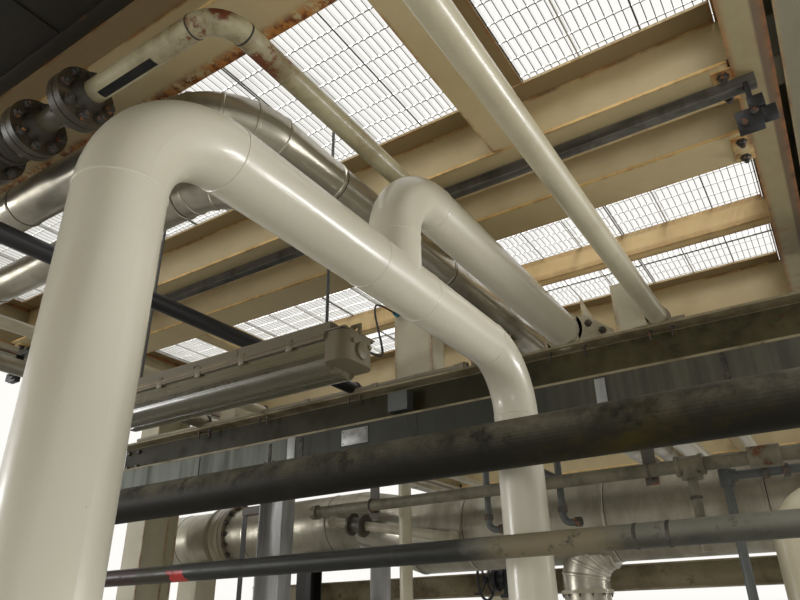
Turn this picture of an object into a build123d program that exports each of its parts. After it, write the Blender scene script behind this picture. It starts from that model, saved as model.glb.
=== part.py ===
"""Industrial pipe bridge: steel portals, a grated deck and the pipes it carries.

The frame is in millimetres, +Z up, with +Y along the bridge and the origin on the floor
under the middle of the bridge.
"""
import os
from build123d import *

# Overall layout
bays = 3
bay_length = 6000.0
column_spread = 4700.0
deck_level = 3500.0
touch = 0.3

# Rolled steel sections: depth, width, web, flange
column_section = (300.0, 200.0, 8.0, 12.0)
cross_section = (200.0, 200.0, 8.0, 12.0)
girder_section = (300.0, 200.0, 9.0, 14.0)
edge_section = (300.0, 125.0, 7.0, 11.0)
deck_section = (294.0, 200.0, 8.0, 12.0)
stub_section = (294.0, 150.0, 7.0, 11.0)
tie_section = (200.0, 200.0, 8.0, 12.0)
bearer_section = (150.0, 100.0, 6.0, 9.0)
channel_depth, channel_width, channel_web, channel_flange = 138.0, 75.0, 7.0, 11.0
trimmer_depth, trimmer_width, trimmer_web, trimmer_flange = 294.0, 90.0, 9.0, 14.0

# Portals
base_plate_side, base_plate_thickness = 380.0, 25.0
anchor_spacing, anchor_hole_radius = 280.0, 13.0
cap_plate_side, cap_plate_thickness = 240.0, 16.0
cross_beam_top = 2820.0
tie_top = 1750.0
packer_length, packer_height = 160.0, 180.0
packers_per_bay = 3

# Deck
deck_beam_backs = (5020.0, 4020.0, 3100.0, 2203.0, 1105.0, 705.0)
channel_offset = 190.0
deck_overhang = 450.0
edge_inset = 185.0
cope_clearance = 6.0
bearer_x = (-1315.0, 175.0)
short_post_x, short_post_height = 1415.0, 262.0
stub_beam_x = 1327.5
post_width, post_depth, post_wall = 250.0, 150.0, 6.0

# Grating and plate
grating_depth = 30.0
grating_inset = 20.0
grating_band, grating_gap = 6.0, 6.0
grating_columns, grating_rows = 5, 3
grating_bars = 4
plate_start_back, plate_end_back, plate_thickness = 4500.0, 2310.0, 6.0
plate_columns = 3

# Guard rails
rail_post_leg, rail_post_wall = 65.0, 6.0
rail_post_outset, rail_post_spacing = 50.0, 1500.0
rail_height, mid_rail_height = 1100.0, 550.0
rail_radius, rail_wall = 21.35, 2.5
toe_height, toe_thickness = 100.0, 6.0

# Galvanised steel
tray_depth, tray_width, tray_wall = 150.0, 75.0, 5.0
tray_gap, tray_gap_x = 12.0, 1766.0
strut_size, strut_wall, strut_lip, strut_shift = 41.0, 2.5, 9.0, 5.0

# Main spool, a six inch pipe
main_radius, main_wall = 84.15, 7.1
main_bend = 229.0
main_x = 1073.0
riser_a_back, riser_b_back = 2583.0, 796.0
run_z = 2512.5
tee_back = 1650.0
tee_half, tee_height = 143.0, 143.0
riser_end_z = 330.0

# Pipes along the bridge: radius, wall, x
thin_radius, thin_wall, thin_x = 44.45, 5.5, 1535.0
small_radius, small_wall, small_x, small_z = 36.5, 5.0, 972.0, 3055.0
small_bend, small_back, small_west_x = 95.0, 2350.0, -1650.0
small_flange_x, small_flange_radius, small_flange_thickness = (364.0, 110.0, -136.0), 97.0, 26.0
small_joint_gap, small_bolt_circle, small_bolt_radius = 4.0, 76.0, 9.0
small_valve_radius, small_valve_half, small_valve_round = 62.0, 60.0, 25.0
black_radius, black_wall, black_x = 36.5, 5.0, -255.0
cream_radius, cream_wall, cream_x = 30.0, 4.0, -995.0
silver_radius, silver_wall, silver_x = 44.45, 5.0, -1545.0
pipe_overhang = 350.0

# Insulated pipes under the deck
clad_a_radius, clad_wall = 81.0, 30.0
clad_a_x, clad_a_back, clad_a_z, clad_a_bend = 745.0, 2120.0, 3050.0, 240.0
clad_b_radius, clad_b_x, clad_b_back, clad_b_z, clad_b_bend = 73.0, 560.0, 1860.0, 2990.0, 220.0
clad_west_x = -1900.0

# Pipes across the bridge, on the side ties
dark_back, dark_z = 997.0, 2128.45
low_radius, low_wall, low_back = 36.5, 5.0, 1032.0
cross_pipe_reach = 2700.0
stool_half, stool_leg, stool_plate = 130.0, 35.0, 20.0

# Large clad pipe across the bridge behind the portal, with an eccentric reducer
big_ahead, big_wall, big_reach = 740.0, 50.0, 2640.0
big_west_radius, big_west_z = 200.0, 2212.0
big_east_radius, big_east_z = 234.0, 2094.0
reducer_west_x, reducer_east_x = -700.0, -280.0
big_flange_x, big_flange_radius, big_flange_thickness, big_flange_gap = -1990.0, 228.0, 45.0, 6.0
saddle_width, saddle_wrap = 200.0, 25.0
leg_section = (125.0, 125.0, 7.0, 9.0)
leg_x, round_leg_x, round_leg_radius, round_leg_wall = -1217.0, -614.0, 67.0, 6.0
leg_plate, leg_plate_thickness = 220.0, 16.0
drop_x, drop_radius, drop_wall, drop_bend, drop_z = 757.0, 125.0, 30.0, 190.0, 1955.0
drop_ring_radius, drop_ring_z, drop_ring_thickness = 140.0, 1706.0, 20.0
rest_ahead, rest_section = 1530.0, (150.0, 150.0, 7.0, 10.0)

# Sloped drain from the large pipe, with its valve
drain_start, drain_end, drain_ahead = (-779.0, 2188.0), (82.0, 2028.0), 440.0
drain_radius, drain_wall, drain_cap_radius = 28.0, 4.0, 36.0
drain_valve_at, drain_valve_half, drain_valve_radius = 0.23, 55.0, 46.0
drain_flange_radius, drain_flange_thickness = 70.0, 16.0

# Small header under the cross beam, with its tee and drop
header_radius, header_wall = 30.25, 4.0
header_ahead, header_z, header_west_x = 30.0, 2180.0, -577.0
header_tee_x, header_drop, header_cap_length = 1527.0, 330.0, 60.0
header_fitting_radius, header_collar_radius, header_drop_radius = 41.0, 46.0, 21.0
header_coupling = (1765.0, 1890.0)
header_hanger_x = (-190.0, 1350.0)
hanger_width, hanger_thickness = 60.0, 8.0

# Thin tubes beside the header, and the upright pipes near it
tube_radius, tube_wall, tube_ahead, tube_bend = 17.0, 3.0, 88.0, 40.0
tube_x, tube_bottom, tube_reach = (506.0, 902.0), 1996.0, 90.0
upright_x, upright_radius, upright_wall, upright_ahead = -105.0, 37.0, 5.0, 250.0
conduit_x, conduit_z, conduit_ahead = 1640.0, 2146.0, 200.0
conduit_radius, conduit_wall, conduit_fitting_radius, conduit_fitting_half = 20.0, 3.0, 30.0, 45.0
bent_x, bent_z, bent_back = 1866.0, 1947.0, 300.0
bent_radius, bent_wall, bent_bend, bent_foot_radius = 57.0, 6.0, 150.0, 110.0

# Galvanised stand with an arm and a prop, west of the header
stand_x, stand_ahead, arm_top = -1063.0, 200.0, 2300.0
stand_lap, stand_plate = 60.0, 12.0
stand_section = (200.0, 120.0, 8.0, 10.0)
arm_west_x, arm_depth, arm_width = -1345.0, 50.0, 60.0
prop_side, prop_wall = 40.0, 4.0

# Guide beside the branch where it passes over the cross beam, and a box on the beam's web
guide_gap, guide_length, guide_height = 4.0, 115.0, 280.0
guide_thickness, guide_base = 12.0, 8.0
box_x, box_width, box_height, box_depth = 60.0, 130.0, 110.0, 70.0

# Gate valve north of the large pipe
foot_thickness = 20.0
valve_x, valve_ahead, valve_z = 133.5, 1180.0, 1836.0
valve_pipe_radius, valve_pipe_wall, valve_bend = 44.45, 5.5, 114.0
valve_half, valve_body_radius = 115.0, 72.0
valve_flange_radius, valve_flange_thickness = 95.0, 20.0
bonnet_radius, bonnet_reach = 48.0, 105.0
bonnet_flange_radius, bonnet_flange_thickness = 76.0, 28.0
yoke_radius, yoke_reach = 26.0, 165.0
stem_radius, stem_reach = 12.0, 222.0
wheel_reach = 200.0
wheel_radius, wheel_rim_radius = 124.0, 9.0
wheel_spokes = 4
spoke_width, spoke_turn = 12.5, 45.0
wheel_hub_radius, wheel_hub_length, wheel_clearance = 24.0, 26.0, 0.4
wheel_peg_radius, wheel_peg_length = 8.0, 45.0

# Linear luminaire
lamp_x0, lamp_x1, lamp_back, lamp_z = -430.0, 715.0, 1450.0, 2450.0
tray_width, lamp_tray_height = 124.0, 66.0
lid_width, lid_height, lid_lip = 190.0, 14.0, 12.0
lens_width, lens_height, lens_round, lens_groove = 168.0, 108.0, 40.0, 14.0
cap_length, cap_inset, cap_drop, cap_round = 88.0, 8.0, 92.0, 45.0
lug_side, lug_thickness, lug_hole = 44.0, 8.0, 9.0
lamp_rod_x, lamp_rod_radius, rod_plate, rod_plate_thickness = (-380.0, 648.5), 6.0, 90.0, 6.0
cable_radius, cable_sag, gland_radius, gland_length = 5.5, 35.0, 13.0, 40.0
gland_inset, cable_post_z = 25.0, 3255.0

# Flanges
flange_holes = 8
main_flange_radius, main_flange_thickness, main_bolt_circle = 140.0, 22.0, 120.0
flange_bolt_radius = 11.0


def h_face(section):
    """The outline of a rolled H section, depth upright."""
    depth, width, web, flange = section
    pocket = Rectangle((width - web) / 2, depth - 2 * flange)
    shift = (width + web) / 4
    return Rectangle(width, depth) - Pos(shift, 0) * pocket - Pos(-shift, 0) * pocket


def along_x(face, x0, x1, y, z):
    """Extrudes a face drawn with +Y to the right and +Z up."""
    plane = Plane(origin=(x0, y, z), x_dir=(0, 1, 0), z_dir=(1, 0, 0))
    return extrude(plane * face, amount=x1 - x0)


def along_y(face, y0, y1, x, z):
    """Extrudes a face drawn with -X to the right and +Z up."""
    plane = Plane(origin=(x, y0, z), x_dir=(-1, 0, 0), z_dir=(0, 1, 0))
    return extrude(plane * face, amount=y1 - y0)


def along_z(face, z0, z1, x, y):
    """Extrudes a face drawn in plan."""
    return extrude(Pos(x, y, z0) * face, amount=z1 - z0)


def block(x0, x1, y0, y1, z0, z1):
    """A box from its two corners."""
    middle = ((x0 + x1) / 2, (y0 + y1) / 2, (z0 + z1) / 2)
    return Pos(*middle) * Box(x1 - x0, y1 - y0, z1 - z0)


def ring(radius, wall):
    """A pipe's section."""
    return Circle(radius) - Circle(radius - wall)


def pipe(start, end, radius, wall):
    """A straight pipe between two points."""
    start, end = Vector(*start), Vector(*end)
    run = end - start
    plane = Plane(origin=start, z_dir=run.normalized())
    return extrude(plane * ring(radius, wall), amount=run.length)


def elbow(corner, arriving, leaving, bend, radius, wall):
    """A ninety degree elbow whose two centre lines meet at the corner."""
    corner, arriving, leaving = Vector(*corner), Vector(*arriving), Vector(*leaving)
    start = corner - arriving * bend
    centre = start + leaving * bend
    plane = Plane(origin=start, z_dir=arriving)
    return revolve(plane * ring(radius, wall), Axis(centre, arriving.cross(leaving)), 90)


def flange(centre, axis, radius, thickness, bore, bolt_circle=0.0, bolt_radius=flange_bolt_radius):
    """A flat flange; the centre is the middle of the face that it starts from."""
    face = Circle(radius)
    if bore:
        face -= Circle(bore)
    if bolt_circle:
        face -= PolarLocations(bolt_circle, flange_holes) * Circle(bolt_radius)
    plane = Plane(origin=Vector(*centre), z_dir=Vector(*axis))
    return extrude(plane * face, amount=thickness)


def save(name, solids):
    """Writes one node; its pieces don't touch each other."""
    pieces = [solid for item in solids for solid in item.solids()]
    export_step(Compound(children=pieces, label=name), f"parts/{name}.step")


os.makedirs("parts", exist_ok=True)
half_length = bays * bay_length / 2
portal_y = [-half_length + bay_length * i for i in range(bays + 1)]
bay_y = portal_y[:-1]
column_x = (-column_spread / 2, column_spread / 2)
deck_half_length = half_length + deck_overhang
portal = portal_y[-2]
riser_a_y, riser_b_y, tee_y = portal - riser_a_back, portal - riser_b_back, portal - tee_back
small_y, clad_a_y, clad_b_y = portal - small_back, portal - clad_a_back, portal - clad_b_back
dark_y, low_y, lamp_y, bent_y = portal - dark_back, portal - low_back, portal - lamp_back, portal - bent_back
header_y, big_y, valve_y = portal + header_ahead, portal + big_ahead, portal + valve_ahead
edge_beam_x = column_spread / 2 - edge_inset
grating_half_width = column_spread / 2 - grating_inset
rail_post_x = column_spread / 2 + rail_post_outset
girder_bottom = deck_level - girder_section[0]

# Columns stand on base plates behind the cross beams and carry the main girders on cap plates
column_y = [y + cross_section[1] / 2 + column_section[0] / 2 for y in portal_y]
plate = Rectangle(base_plate_side, base_plate_side)
plate -= GridLocations(anchor_spacing, anchor_spacing, 2, 2) * Circle(anchor_hole_radius)
column_top = girder_bottom - cap_plate_thickness
column_face = h_face(column_section)
cap_face = Rectangle(cap_plate_side, column_section[0])
feet = [(x, y) for x in column_x for y in column_y]
save("base_plates", [along_z(plate, 0, base_plate_thickness, x, y) for x, y in feet])
save("columns", [along_z(column_face, base_plate_thickness, column_top, x, y) for x, y in feet])

# Portal cross beams are bolted to the south flanges of the columns
column_inside = column_spread / 2 - column_section[1] / 2
cross_reach = column_spread / 2 + column_section[1] / 2
cross_z = cross_beam_top - cross_section[0] / 2
cross_beams = [along_x(h_face(cross_section), -cross_reach, cross_reach, y, cross_z) for y in portal_y]

# A rest lies across the side ties, north of the large pipe
cross_beams.append(along_x(h_face(rest_section), -cross_reach, cross_reach, portal + rest_ahead,
                           tie_top + rest_section[0] / 2))
save("cross_beams", cross_beams)

# Side ties join the columns lengthwise, on the column webs' line
tie_z = tie_top - tie_section[0] / 2
tie_half_gap = column_section[0] / 2
save("side_ties", [along_y(h_face(tie_section), y + tie_half_gap, y + bay_length - tie_half_gap, x, tie_z)
                   for x in column_x for y in column_y[:-1]])

# Main girders run over the columns
girder_z = deck_level - girder_section[0] / 2
save("main_girders", [along_y(h_face(girder_section), -deck_half_length, deck_half_length, x, girder_z)
                      for x in column_x])

# Edge beams of the deck hang beside the girders on packers
edge_z = deck_level - edge_section[0] / 2
save("edge_beams", [along_y(h_face(edge_section), -deck_half_length, deck_half_length, x, edge_z)
                    for x in (-edge_beam_x, edge_beam_x)])
packer_inside = edge_beam_x + edge_section[2] / 2
packer_outside = column_spread / 2 - girder_section[2] / 2
packers = []
for y in bay_y:
    for i in range(packers_per_bay):
        middle = y + bay_length * (i + 0.5) / packers_per_bay
        for side in (-1, 1):
            ends = sorted((side * packer_inside, side * packer_outside))
            packers.append(block(*ends, middle - packer_length / 2, middle + packer_length / 2,
                                 edge_z - packer_height / 2, edge_z + packer_height / 2))
packers += [along_z(cap_face, column_top, girder_bottom, x, y) for x, y in feet]
save("girder_packers", packers)

# Deck beams are coped at their ends to reach the edge beams' webs
deck_end = edge_beam_x - edge_section[2] / 2
cope_length = (edge_section[1] - edge_section[2]) / 2 + cope_clearance
cope_height = edge_section[3] + cope_clearance


def coped_beam(section, y):
    """A deck beam across the bridge, flush with the deck."""
    depth, width = section[0], section[1]
    beam = along_x(h_face(section), -deck_end, deck_end, y, deck_level - depth / 2)
    for side in (-1, 1):
        ends = sorted((side * deck_end, side * (deck_end - cope_length)))
        beam -= block(*ends, y - width, y + width, deck_level - cope_height, deck_level)
        low = deck_level - edge_section[0]
        beam -= block(*ends, y - width, y + width, low, low + cope_height)
    return beam


deck_beam_y = [y - back for y in portal_y[1:] for back in deck_beam_backs]
save("deck_beams", [coped_beam(deck_section, y) for y in deck_beam_y])


def channel_face(depth, width, web, lip):
    """A channel with its back on the left of the drawing."""
    inside = Rectangle(width - web, depth - 2 * lip)
    return Pos(width / 2, 0) * Rectangle(width, depth) - Pos((width + web) / 2, 0) * inside


# A shallow channel just past each portal, and a deep trimmer at each end of the deck
shallow = channel_face(channel_depth, channel_width, channel_web, channel_flange)
shallow_z = deck_level - channel_depth / 2
deck_channels = []
for y in bay_y:
    bar = along_x(shallow, -deck_end, deck_end, y + channel_offset, shallow_z)
    for side in (-1, 1):
        ends = sorted((side * deck_end, side * (deck_end - cope_length)))
        bar -= block(*ends, y, y + channel_offset + 2 * channel_width, deck_level - cope_height, deck_level)
    deck_channels.append(bar)
trimmer = channel_face(trimmer_depth, trimmer_width, trimmer_web, trimmer_flange)
trimmer_z = deck_level - trimmer_depth / 2
for side, end in ((-1, -deck_half_length), (1, deck_half_length)):
    face = trimmer if side < 0 else mirror(trimmer, Plane.YZ)
    bar = along_x(face, -deck_end, deck_end, end, trimmer_z)
    for flank in (-1, 1):
        ends = sorted((flank * deck_end, flank * (deck_end - cope_length)))
        bar -= block(*ends, end - 2 * trimmer_width, end + 2 * trimmer_width,
                     deck_level - cope_height, deck_level)
        low = deck_level - edge_section[0]
        bar -= block(*ends, end - 2 * trimmer_width, end + 2 * trimmer_width, low, low + cope_height)
    deck_channels.append(bar)
save("deck_channels", deck_channels)

# A stub beam between the two deck beams that stand furthest before each portal
web_half = deck_section[2] / 2
stub_cope = (deck_section[1] - deck_section[2]) / 2 + cope_clearance
stub_cope_height = deck_section[3] + cope_clearance


def coped_stub(section, x, y0, y1, cope0, cope1, cut_low):
    """A short beam along the bridge between two webs, coped round their flanges."""
    depth, width = section[0], section[1]
    bar = along_y(h_face(section), y0, y1, x, deck_level - depth / 2)
    for start, end in ((y0, y0 + cope0), (y1 - cope1, y1)):
        bar -= block(x - width, x + width, start, end, deck_level - stub_cope_height, deck_level)
        if cut_low:
            bar -= block(x - width, x + width, start, end, deck_level - depth,
                         deck_level - depth + stub_cope_height)
    return bar


stubs = []
for y in portal_y[1:]:
    stubs.append(coped_stub(stub_section, stub_beam_x, y - deck_beam_backs[3] + web_half,
                            y - deck_beam_backs[4] - web_half, stub_cope, stub_cope, True))

# Bearers over each portal, and the box posts that carry them on the cross beam
posts = []
bearer_bottom = deck_level - bearer_section[0]
post_face = Rectangle(post_width, post_depth)
post_face -= Rectangle(post_width - 2 * post_wall, post_depth - 2 * post_wall)
slim_face = Rectangle(post_depth, post_depth)
slim_face -= Rectangle(post_depth - 2 * post_wall, post_depth - 2 * post_wall)
for number, y in enumerate(portal_y):
    first, last = number == 0, number == bays
    start = -deck_half_length + trimmer_web if first else y - deck_beam_backs[-1] + web_half
    end = deck_half_length - trimmer_web if last else y + channel_offset
    cope_start = trimmer_width - trimmer_web + cope_clearance if first else stub_cope
    cope_end = trimmer_width - trimmer_web + cope_clearance if last else 0.0
    for x in bearer_x:
        bar = along_y(h_face(bearer_section), start, end, x, deck_level - bearer_section[0] / 2)
        low = deck_level - stub_cope_height
        bar -= block(x - post_width, x + post_width, start, start + cope_start, low, deck_level)
        if last:
            bar -= block(x - post_width, x + post_width, end - cope_end, end, low, deck_level)
        stubs.append(bar)
        face = post_face if x == bearer_x[1] else slim_face
        posts.append(along_z(face, cross_beam_top, bearer_bottom, x, y))
    short_top = cross_beam_top + short_post_height
    posts.append(along_z(slim_face, cross_beam_top, short_top, short_post_x, y))
save("stub_beams", stubs)
save("deck_posts", posts)


def grating_panel(x0, x1, y0, y1):
    """A banded grating panel, its bearing bars running along the bridge."""
    wide, long = x1 - x0, y1 - y0
    hole_wide = (wide - grating_band * (grating_bars + 1)) / grating_bars
    hole_long = (long - grating_band * 3) / 2
    holes = GridLocations(hole_wide + grating_band, hole_long + grating_band, grating_bars, 2)
    face = Rectangle(wide, long) - holes * Rectangle(hole_wide, hole_long)
    return along_z(face, deck_level, deck_level + grating_depth, (x0 + x1) / 2, (y0 + y1) / 2)


# Grating panels lie on the deck beams, with chequer plate over part of the middle bay
column_pitch = (2 * grating_half_width + grating_gap) / grating_columns
panels = []
plate_start, plate_end = portal - plate_start_back, portal - plate_end_back
for start, end in ((-deck_half_length, plate_start), (plate_end, deck_half_length)):
    row_pitch = (end - start + grating_gap) / grating_rows
    for row in range(grating_rows):
        y0 = start + row * row_pitch
        for column in range(grating_columns):
            x0 = -grating_half_width + column * column_pitch
            panel = grating_panel(x0, x0 + column_pitch - grating_gap, y0, y0 + row_pitch - grating_gap)
            panels.append(panel)
save("grating_panels", panels)
plate_pitch = (2 * grating_half_width + grating_gap) / plate_columns
plates = []
for column in range(plate_columns):
    x0 = -grating_half_width + column * plate_pitch
    plates.append(block(x0, x0 + plate_pitch - grating_gap, plate_start + grating_gap, plate_end - grating_gap,
                        deck_level, deck_level + plate_thickness))
save("deck_plates", plates)

# Guard rails: angle posts on the girders, tubes on their inner faces, and toe boards
angle = Rectangle(rail_post_leg, rail_post_leg)
angle -= Pos(rail_post_wall, rail_post_wall) * Rectangle(rail_post_leg, rail_post_leg)
post_count = int(2 * half_length / rail_post_spacing) + 1
rail_posts, rails, toes = [], [], []
for side in (-1, 1):
    turned = Rot(0, 0, 0 if side > 0 else 90) * angle
    for i in range(post_count):
        y = -half_length + rail_post_spacing * i
        rail_posts.append(along_z(turned, deck_level, deck_level + rail_height, side * rail_post_x, y))
    inner = side * (rail_post_x - rail_post_leg / 2 - rail_radius - touch)
    for height in (rail_height, mid_rail_height):
        z = deck_level + height - rail_radius
        rails.append(pipe((inner, -deck_half_length, z), (inner, deck_half_length, z), rail_radius, rail_wall))
    toe_x = sorted((side * (rail_post_x - rail_post_leg / 2 - toe_thickness),
                    side * (rail_post_x - rail_post_leg / 2)))
    toes.append(block(*toe_x, -deck_half_length, deck_half_length, deck_level, deck_level + toe_height))
save("rail_posts", rail_posts)
save("guard_rails", rails + toes)

# Galvanised channels under the cross beams, in two lengths with a joint gap
tray_face = channel_face(tray_depth, tray_width, tray_wall, tray_wall)
tray_bottom = cross_beam_top - cross_section[0]
trays = []
for y in portal_y:
    back = y - cross_section[1] / 2
    for x0, x1 in ((-cross_reach, tray_gap_x), (tray_gap_x + tray_gap, cross_reach)):
        trays.append(along_x(tray_face, x0, x1, back, tray_bottom - tray_depth / 2))

# A galvanised slotted strut under the deck beam nearest to each portal but one
strut = Rectangle(strut_size, strut_size)
strut -= Pos(0, strut_wall) * Rectangle(strut_size - 2 * strut_wall, strut_size)
strut += Pos(-strut_size / 2 + strut_lip / 2, strut_size / 2 - strut_wall / 2) * Rectangle(strut_lip, strut_wall)
strut += Pos(strut_size / 2 - strut_lip / 2, strut_size / 2 - strut_wall / 2) * Rectangle(strut_lip, strut_wall)
strut_y = [y - deck_beam_backs[4] + strut_shift for y in portal_y[1:]]
strut_top = deck_level - edge_section[0]
trays += [along_x(strut, -edge_beam_x, edge_beam_x, y, strut_top - strut_size / 2) for y in strut_y]
save("galvanised_channels", trays)

# Main spool: two risers, the run between them and a branch along the bridge
branch_z = cross_beam_top + main_radius + touch
east_end = deck_half_length + pipe_overhang
tee_top = run_z + tee_height
branch_bend = branch_z - tee_top
spool = [
    pipe((main_x, riser_a_y, riser_end_z), (main_x, riser_a_y, run_z - main_bend), main_radius, main_wall),
    pipe((main_x, riser_a_y + main_bend, run_z), (main_x, tee_y - tee_half, run_z), main_radius, main_wall),
    pipe((main_x, tee_y + tee_half, run_z), (main_x, riser_b_y - main_bend, run_z), main_radius, main_wall),
    pipe((main_x, riser_b_y, riser_end_z), (main_x, riser_b_y, run_z - main_bend), main_radius, main_wall),
    pipe((main_x, tee_y + branch_bend, branch_z), (main_x, east_end, branch_z), main_radius, main_wall),
]
save("spool_pipes", spool)
tee = extrude(Plane(origin=(main_x, tee_y - tee_half, run_z), z_dir=(0, 1, 0)) * Circle(main_radius),
              amount=2 * tee_half)
tee += along_z(Circle(main_radius), run_z, tee_top, main_x, tee_y)
inside = main_radius - main_wall
tee -= extrude(Plane(origin=(main_x, tee_y - tee_half, run_z), z_dir=(0, 1, 0)) * Circle(inside),
               amount=2 * tee_half)
tee -= along_z(Circle(inside), run_z, tee_top, main_x, tee_y)
up, down, north, south, east, west = (0, 0, 1), (0, 0, -1), (0, 1, 0), (0, -1, 0), (1, 0, 0), (-1, 0, 0)
save("spool_tee", [tee])
save("spool_elbows", [
    elbow((main_x, riser_a_y, run_z), up, north, main_bend, main_radius, main_wall),
    elbow((main_x, riser_b_y, run_z), north, down, main_bend, main_radius, main_wall),
    elbow((main_x, tee_y, branch_z), up, north, branch_bend, main_radius, main_wall),
])

# Riser ends: a flange on the pipe and a pedestal with a blind flange under it
pedestal_radius, pedestal_wall = 57.15, 6.0
pedestal_plate, pedestal_plate_thickness = 220.0, 12.0
riser_flanges, pedestals = [], []
for y in (riser_a_y, riser_b_y):
    top = riser_end_z - main_flange_thickness
    low = top - main_flange_thickness
    riser_flanges.append(flange((main_x, y, top), up, main_flange_radius, main_flange_thickness, inside,
                                main_bolt_circle))
    foot = along_z(Rectangle(pedestal_plate, pedestal_plate), 0, pedestal_plate_thickness, main_x, y)
    foot += pipe((main_x, y, pedestal_plate_thickness), (main_x, y, low), pedestal_radius, pedestal_wall)
    foot += flange((main_x, y, low), up, main_flange_radius, main_flange_thickness, 0, main_bolt_circle)
    pedestals.append(foot)
save("riser_flanges", riser_flanges)
save("riser_pedestals", pedestals)

# Pipes along the bridge, lying on the cross beams
lengthwise = {
    "thin_pipes": ((thin_radius, thin_wall, thin_x), (cream_radius, cream_wall, cream_x)),
    "black_pipe": ((black_radius, black_wall, black_x),),
    "silver_pipe": ((silver_radius, silver_wall, silver_x),),
}
for name, runs in lengthwise.items():
    save(name, [pipe((x, -east_end, cross_beam_top + radius + touch), (x, east_end, cross_beam_top + radius + touch),
                     radius, wall) for radius, wall, x in runs])

# The small pipe with its elbow, three flange pairs and a valve between the last two
joint_half = small_flange_thickness + small_joint_gap / 2
cuts = [small_x - small_bend]
for x in small_flange_x:
    cuts += [x + joint_half, x - joint_half]
cuts.append(small_west_x)
lengths = [(cuts[i + 1], cuts[i]) for i in range(0, len(cuts), 2)]
valve_stretch = lengths.pop(2)
save("small_pipe", [pipe((small_x, small_y + small_bend, small_z), (small_x, east_end, small_z), small_radius,
                         small_wall)]
     + [pipe((x0, small_y, small_z), (x1, small_y, small_z), small_radius, small_wall) for x0, x1 in lengths])
save("pipe_elbows", [
    elbow((small_x, small_y, small_z), east, north, small_bend, small_radius, small_wall),
    elbow((valve_x, valve_y, big_east_z), up, south, valve_bend, valve_pipe_radius, valve_pipe_wall),
])
small_flanges = []
for x in small_flange_x:
    for side in (-1, 1):
        disc = flange((x + side * small_joint_gap / 2, small_y, small_z), (side, 0, 0), small_flange_radius,
                      small_flange_thickness, small_radius, small_bolt_circle, small_bolt_radius)
        small_flanges.append(disc)
save("small_flanges", small_flanges)
valve_mid = sum(valve_stretch) / 2
small_valve = along_x(Circle(small_valve_radius), valve_mid - small_valve_half, valve_mid + small_valve_half,
                      small_y, small_z)
small_valve = fillet(small_valve.edges(), small_valve_round)
small_valve += along_x(Circle(small_radius), *valve_stretch, small_y, small_z)
small_valve -= along_x(Circle(small_radius - small_wall), *valve_stretch, small_y, small_z)
save("small_valve", [small_valve])

# Clad pipes under the deck, each turning from across the bridge to along it
clad_runs, clad_bends = [], []
for x, y, z, bend, radius in ((clad_a_x, clad_a_y, clad_a_z, clad_a_bend, clad_a_radius),
                              (clad_b_x, clad_b_y, clad_b_z, clad_b_bend, clad_b_radius)):
    clad_runs.append(pipe((clad_west_x, y, z), (x - bend, y, z), radius, clad_wall))
    clad_runs.append(pipe((x, y + bend, z), (x, east_end, z), radius, clad_wall))
    clad_bends.append(elbow((x, y, z), east, north, bend, radius, clad_wall))

# Stands on the cross beams under the pipes that run higher than the rest
stand_width, slim_stand_width, stand_length, stand_wall = 60.0, 28.0, 100.0, 8.0
stand_pipes = ((small_x, small_z, small_radius, slim_stand_width),
               (clad_a_x, clad_a_z, clad_a_radius, stand_width),
               (clad_b_x, clad_b_z, clad_b_radius, stand_width))
stands = []
for y in portal_y[-2:]:
    for x, z, radius, width in stand_pipes:
        face = h_face((stand_length, width, stand_wall, stand_wall))
        stands.append(along_z(face, cross_beam_top, z - radius - touch, x, y))

# Pipes across the bridge: the low one lies on the side ties, the dark one on stools that span it
low_z = tie_top + low_radius + touch
save("dark_pipe", [pipe((-cross_pipe_reach, dark_y, dark_z), (cross_pipe_reach, dark_y, dark_z),
                        main_radius, main_wall)])
save("low_pipe", [pipe((-cross_pipe_reach, low_y, low_z), (cross_pipe_reach, low_y, low_z),
                       low_radius, low_wall)])
tie_half_width = tie_section[1] / 2
stool_top = dark_z - main_radius - touch
for x in column_x:
    stool = block(x - tie_half_width, x + tie_half_width, dark_y - stool_half, dark_y + stool_half,
                  tie_top, stool_top)
    stool -= block(x - tie_section[1], x + tie_section[1], dark_y - stool_half + stool_leg,
                   dark_y + stool_half - stool_leg, tie_top, stool_top - stool_plate)
    stands.append(stool)


def reducer(extra):
    """The outside of the eccentric reducer, grown by a clearance."""
    ends = [Plane(origin=(x, big_y, z), z_dir=east) * Circle(radius + extra)
            for x, z, radius in ((reducer_west_x, big_west_z, big_west_radius),
                                 (reducer_east_x, big_east_z, big_east_radius))]
    return loft(ends)


# Large clad pipe: a flanged west length, an eccentric reducer and a wider east length
flange_half = big_flange_gap / 2
flange_reach = flange_half + big_flange_thickness
save("large_pipe", [
    pipe((-big_reach, big_y, big_west_z), (big_flange_x - flange_reach, big_y, big_west_z),
         big_west_radius, big_wall),
    pipe((big_flange_x + flange_reach, big_y, big_west_z), (reducer_west_x, big_y, big_west_z),
         big_west_radius, big_wall),
    pipe((reducer_east_x, big_y, big_east_z), (big_reach, big_y, big_east_z), big_east_radius, big_wall),
])
clad_bends.append(reducer(0) - reducer(-big_wall))
big_bore = big_west_radius - big_wall
large_flanges = [
    flange((big_flange_x - flange_half, big_y, big_west_z), west, big_flange_radius, big_flange_thickness,
           big_bore),
    flange((big_flange_x + flange_half, big_y, big_west_z), east, big_flange_radius, big_flange_thickness,
           big_bore),
]
gasket_face = Circle(big_flange_radius) - Circle(big_bore)
gaskets = [along_x(gasket_face, big_flange_x - flange_half, big_flange_x + flange_half, big_y, big_west_z)]
small_gasket_face = Circle(small_bolt_circle - small_bolt_radius) - Circle(small_radius)
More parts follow.
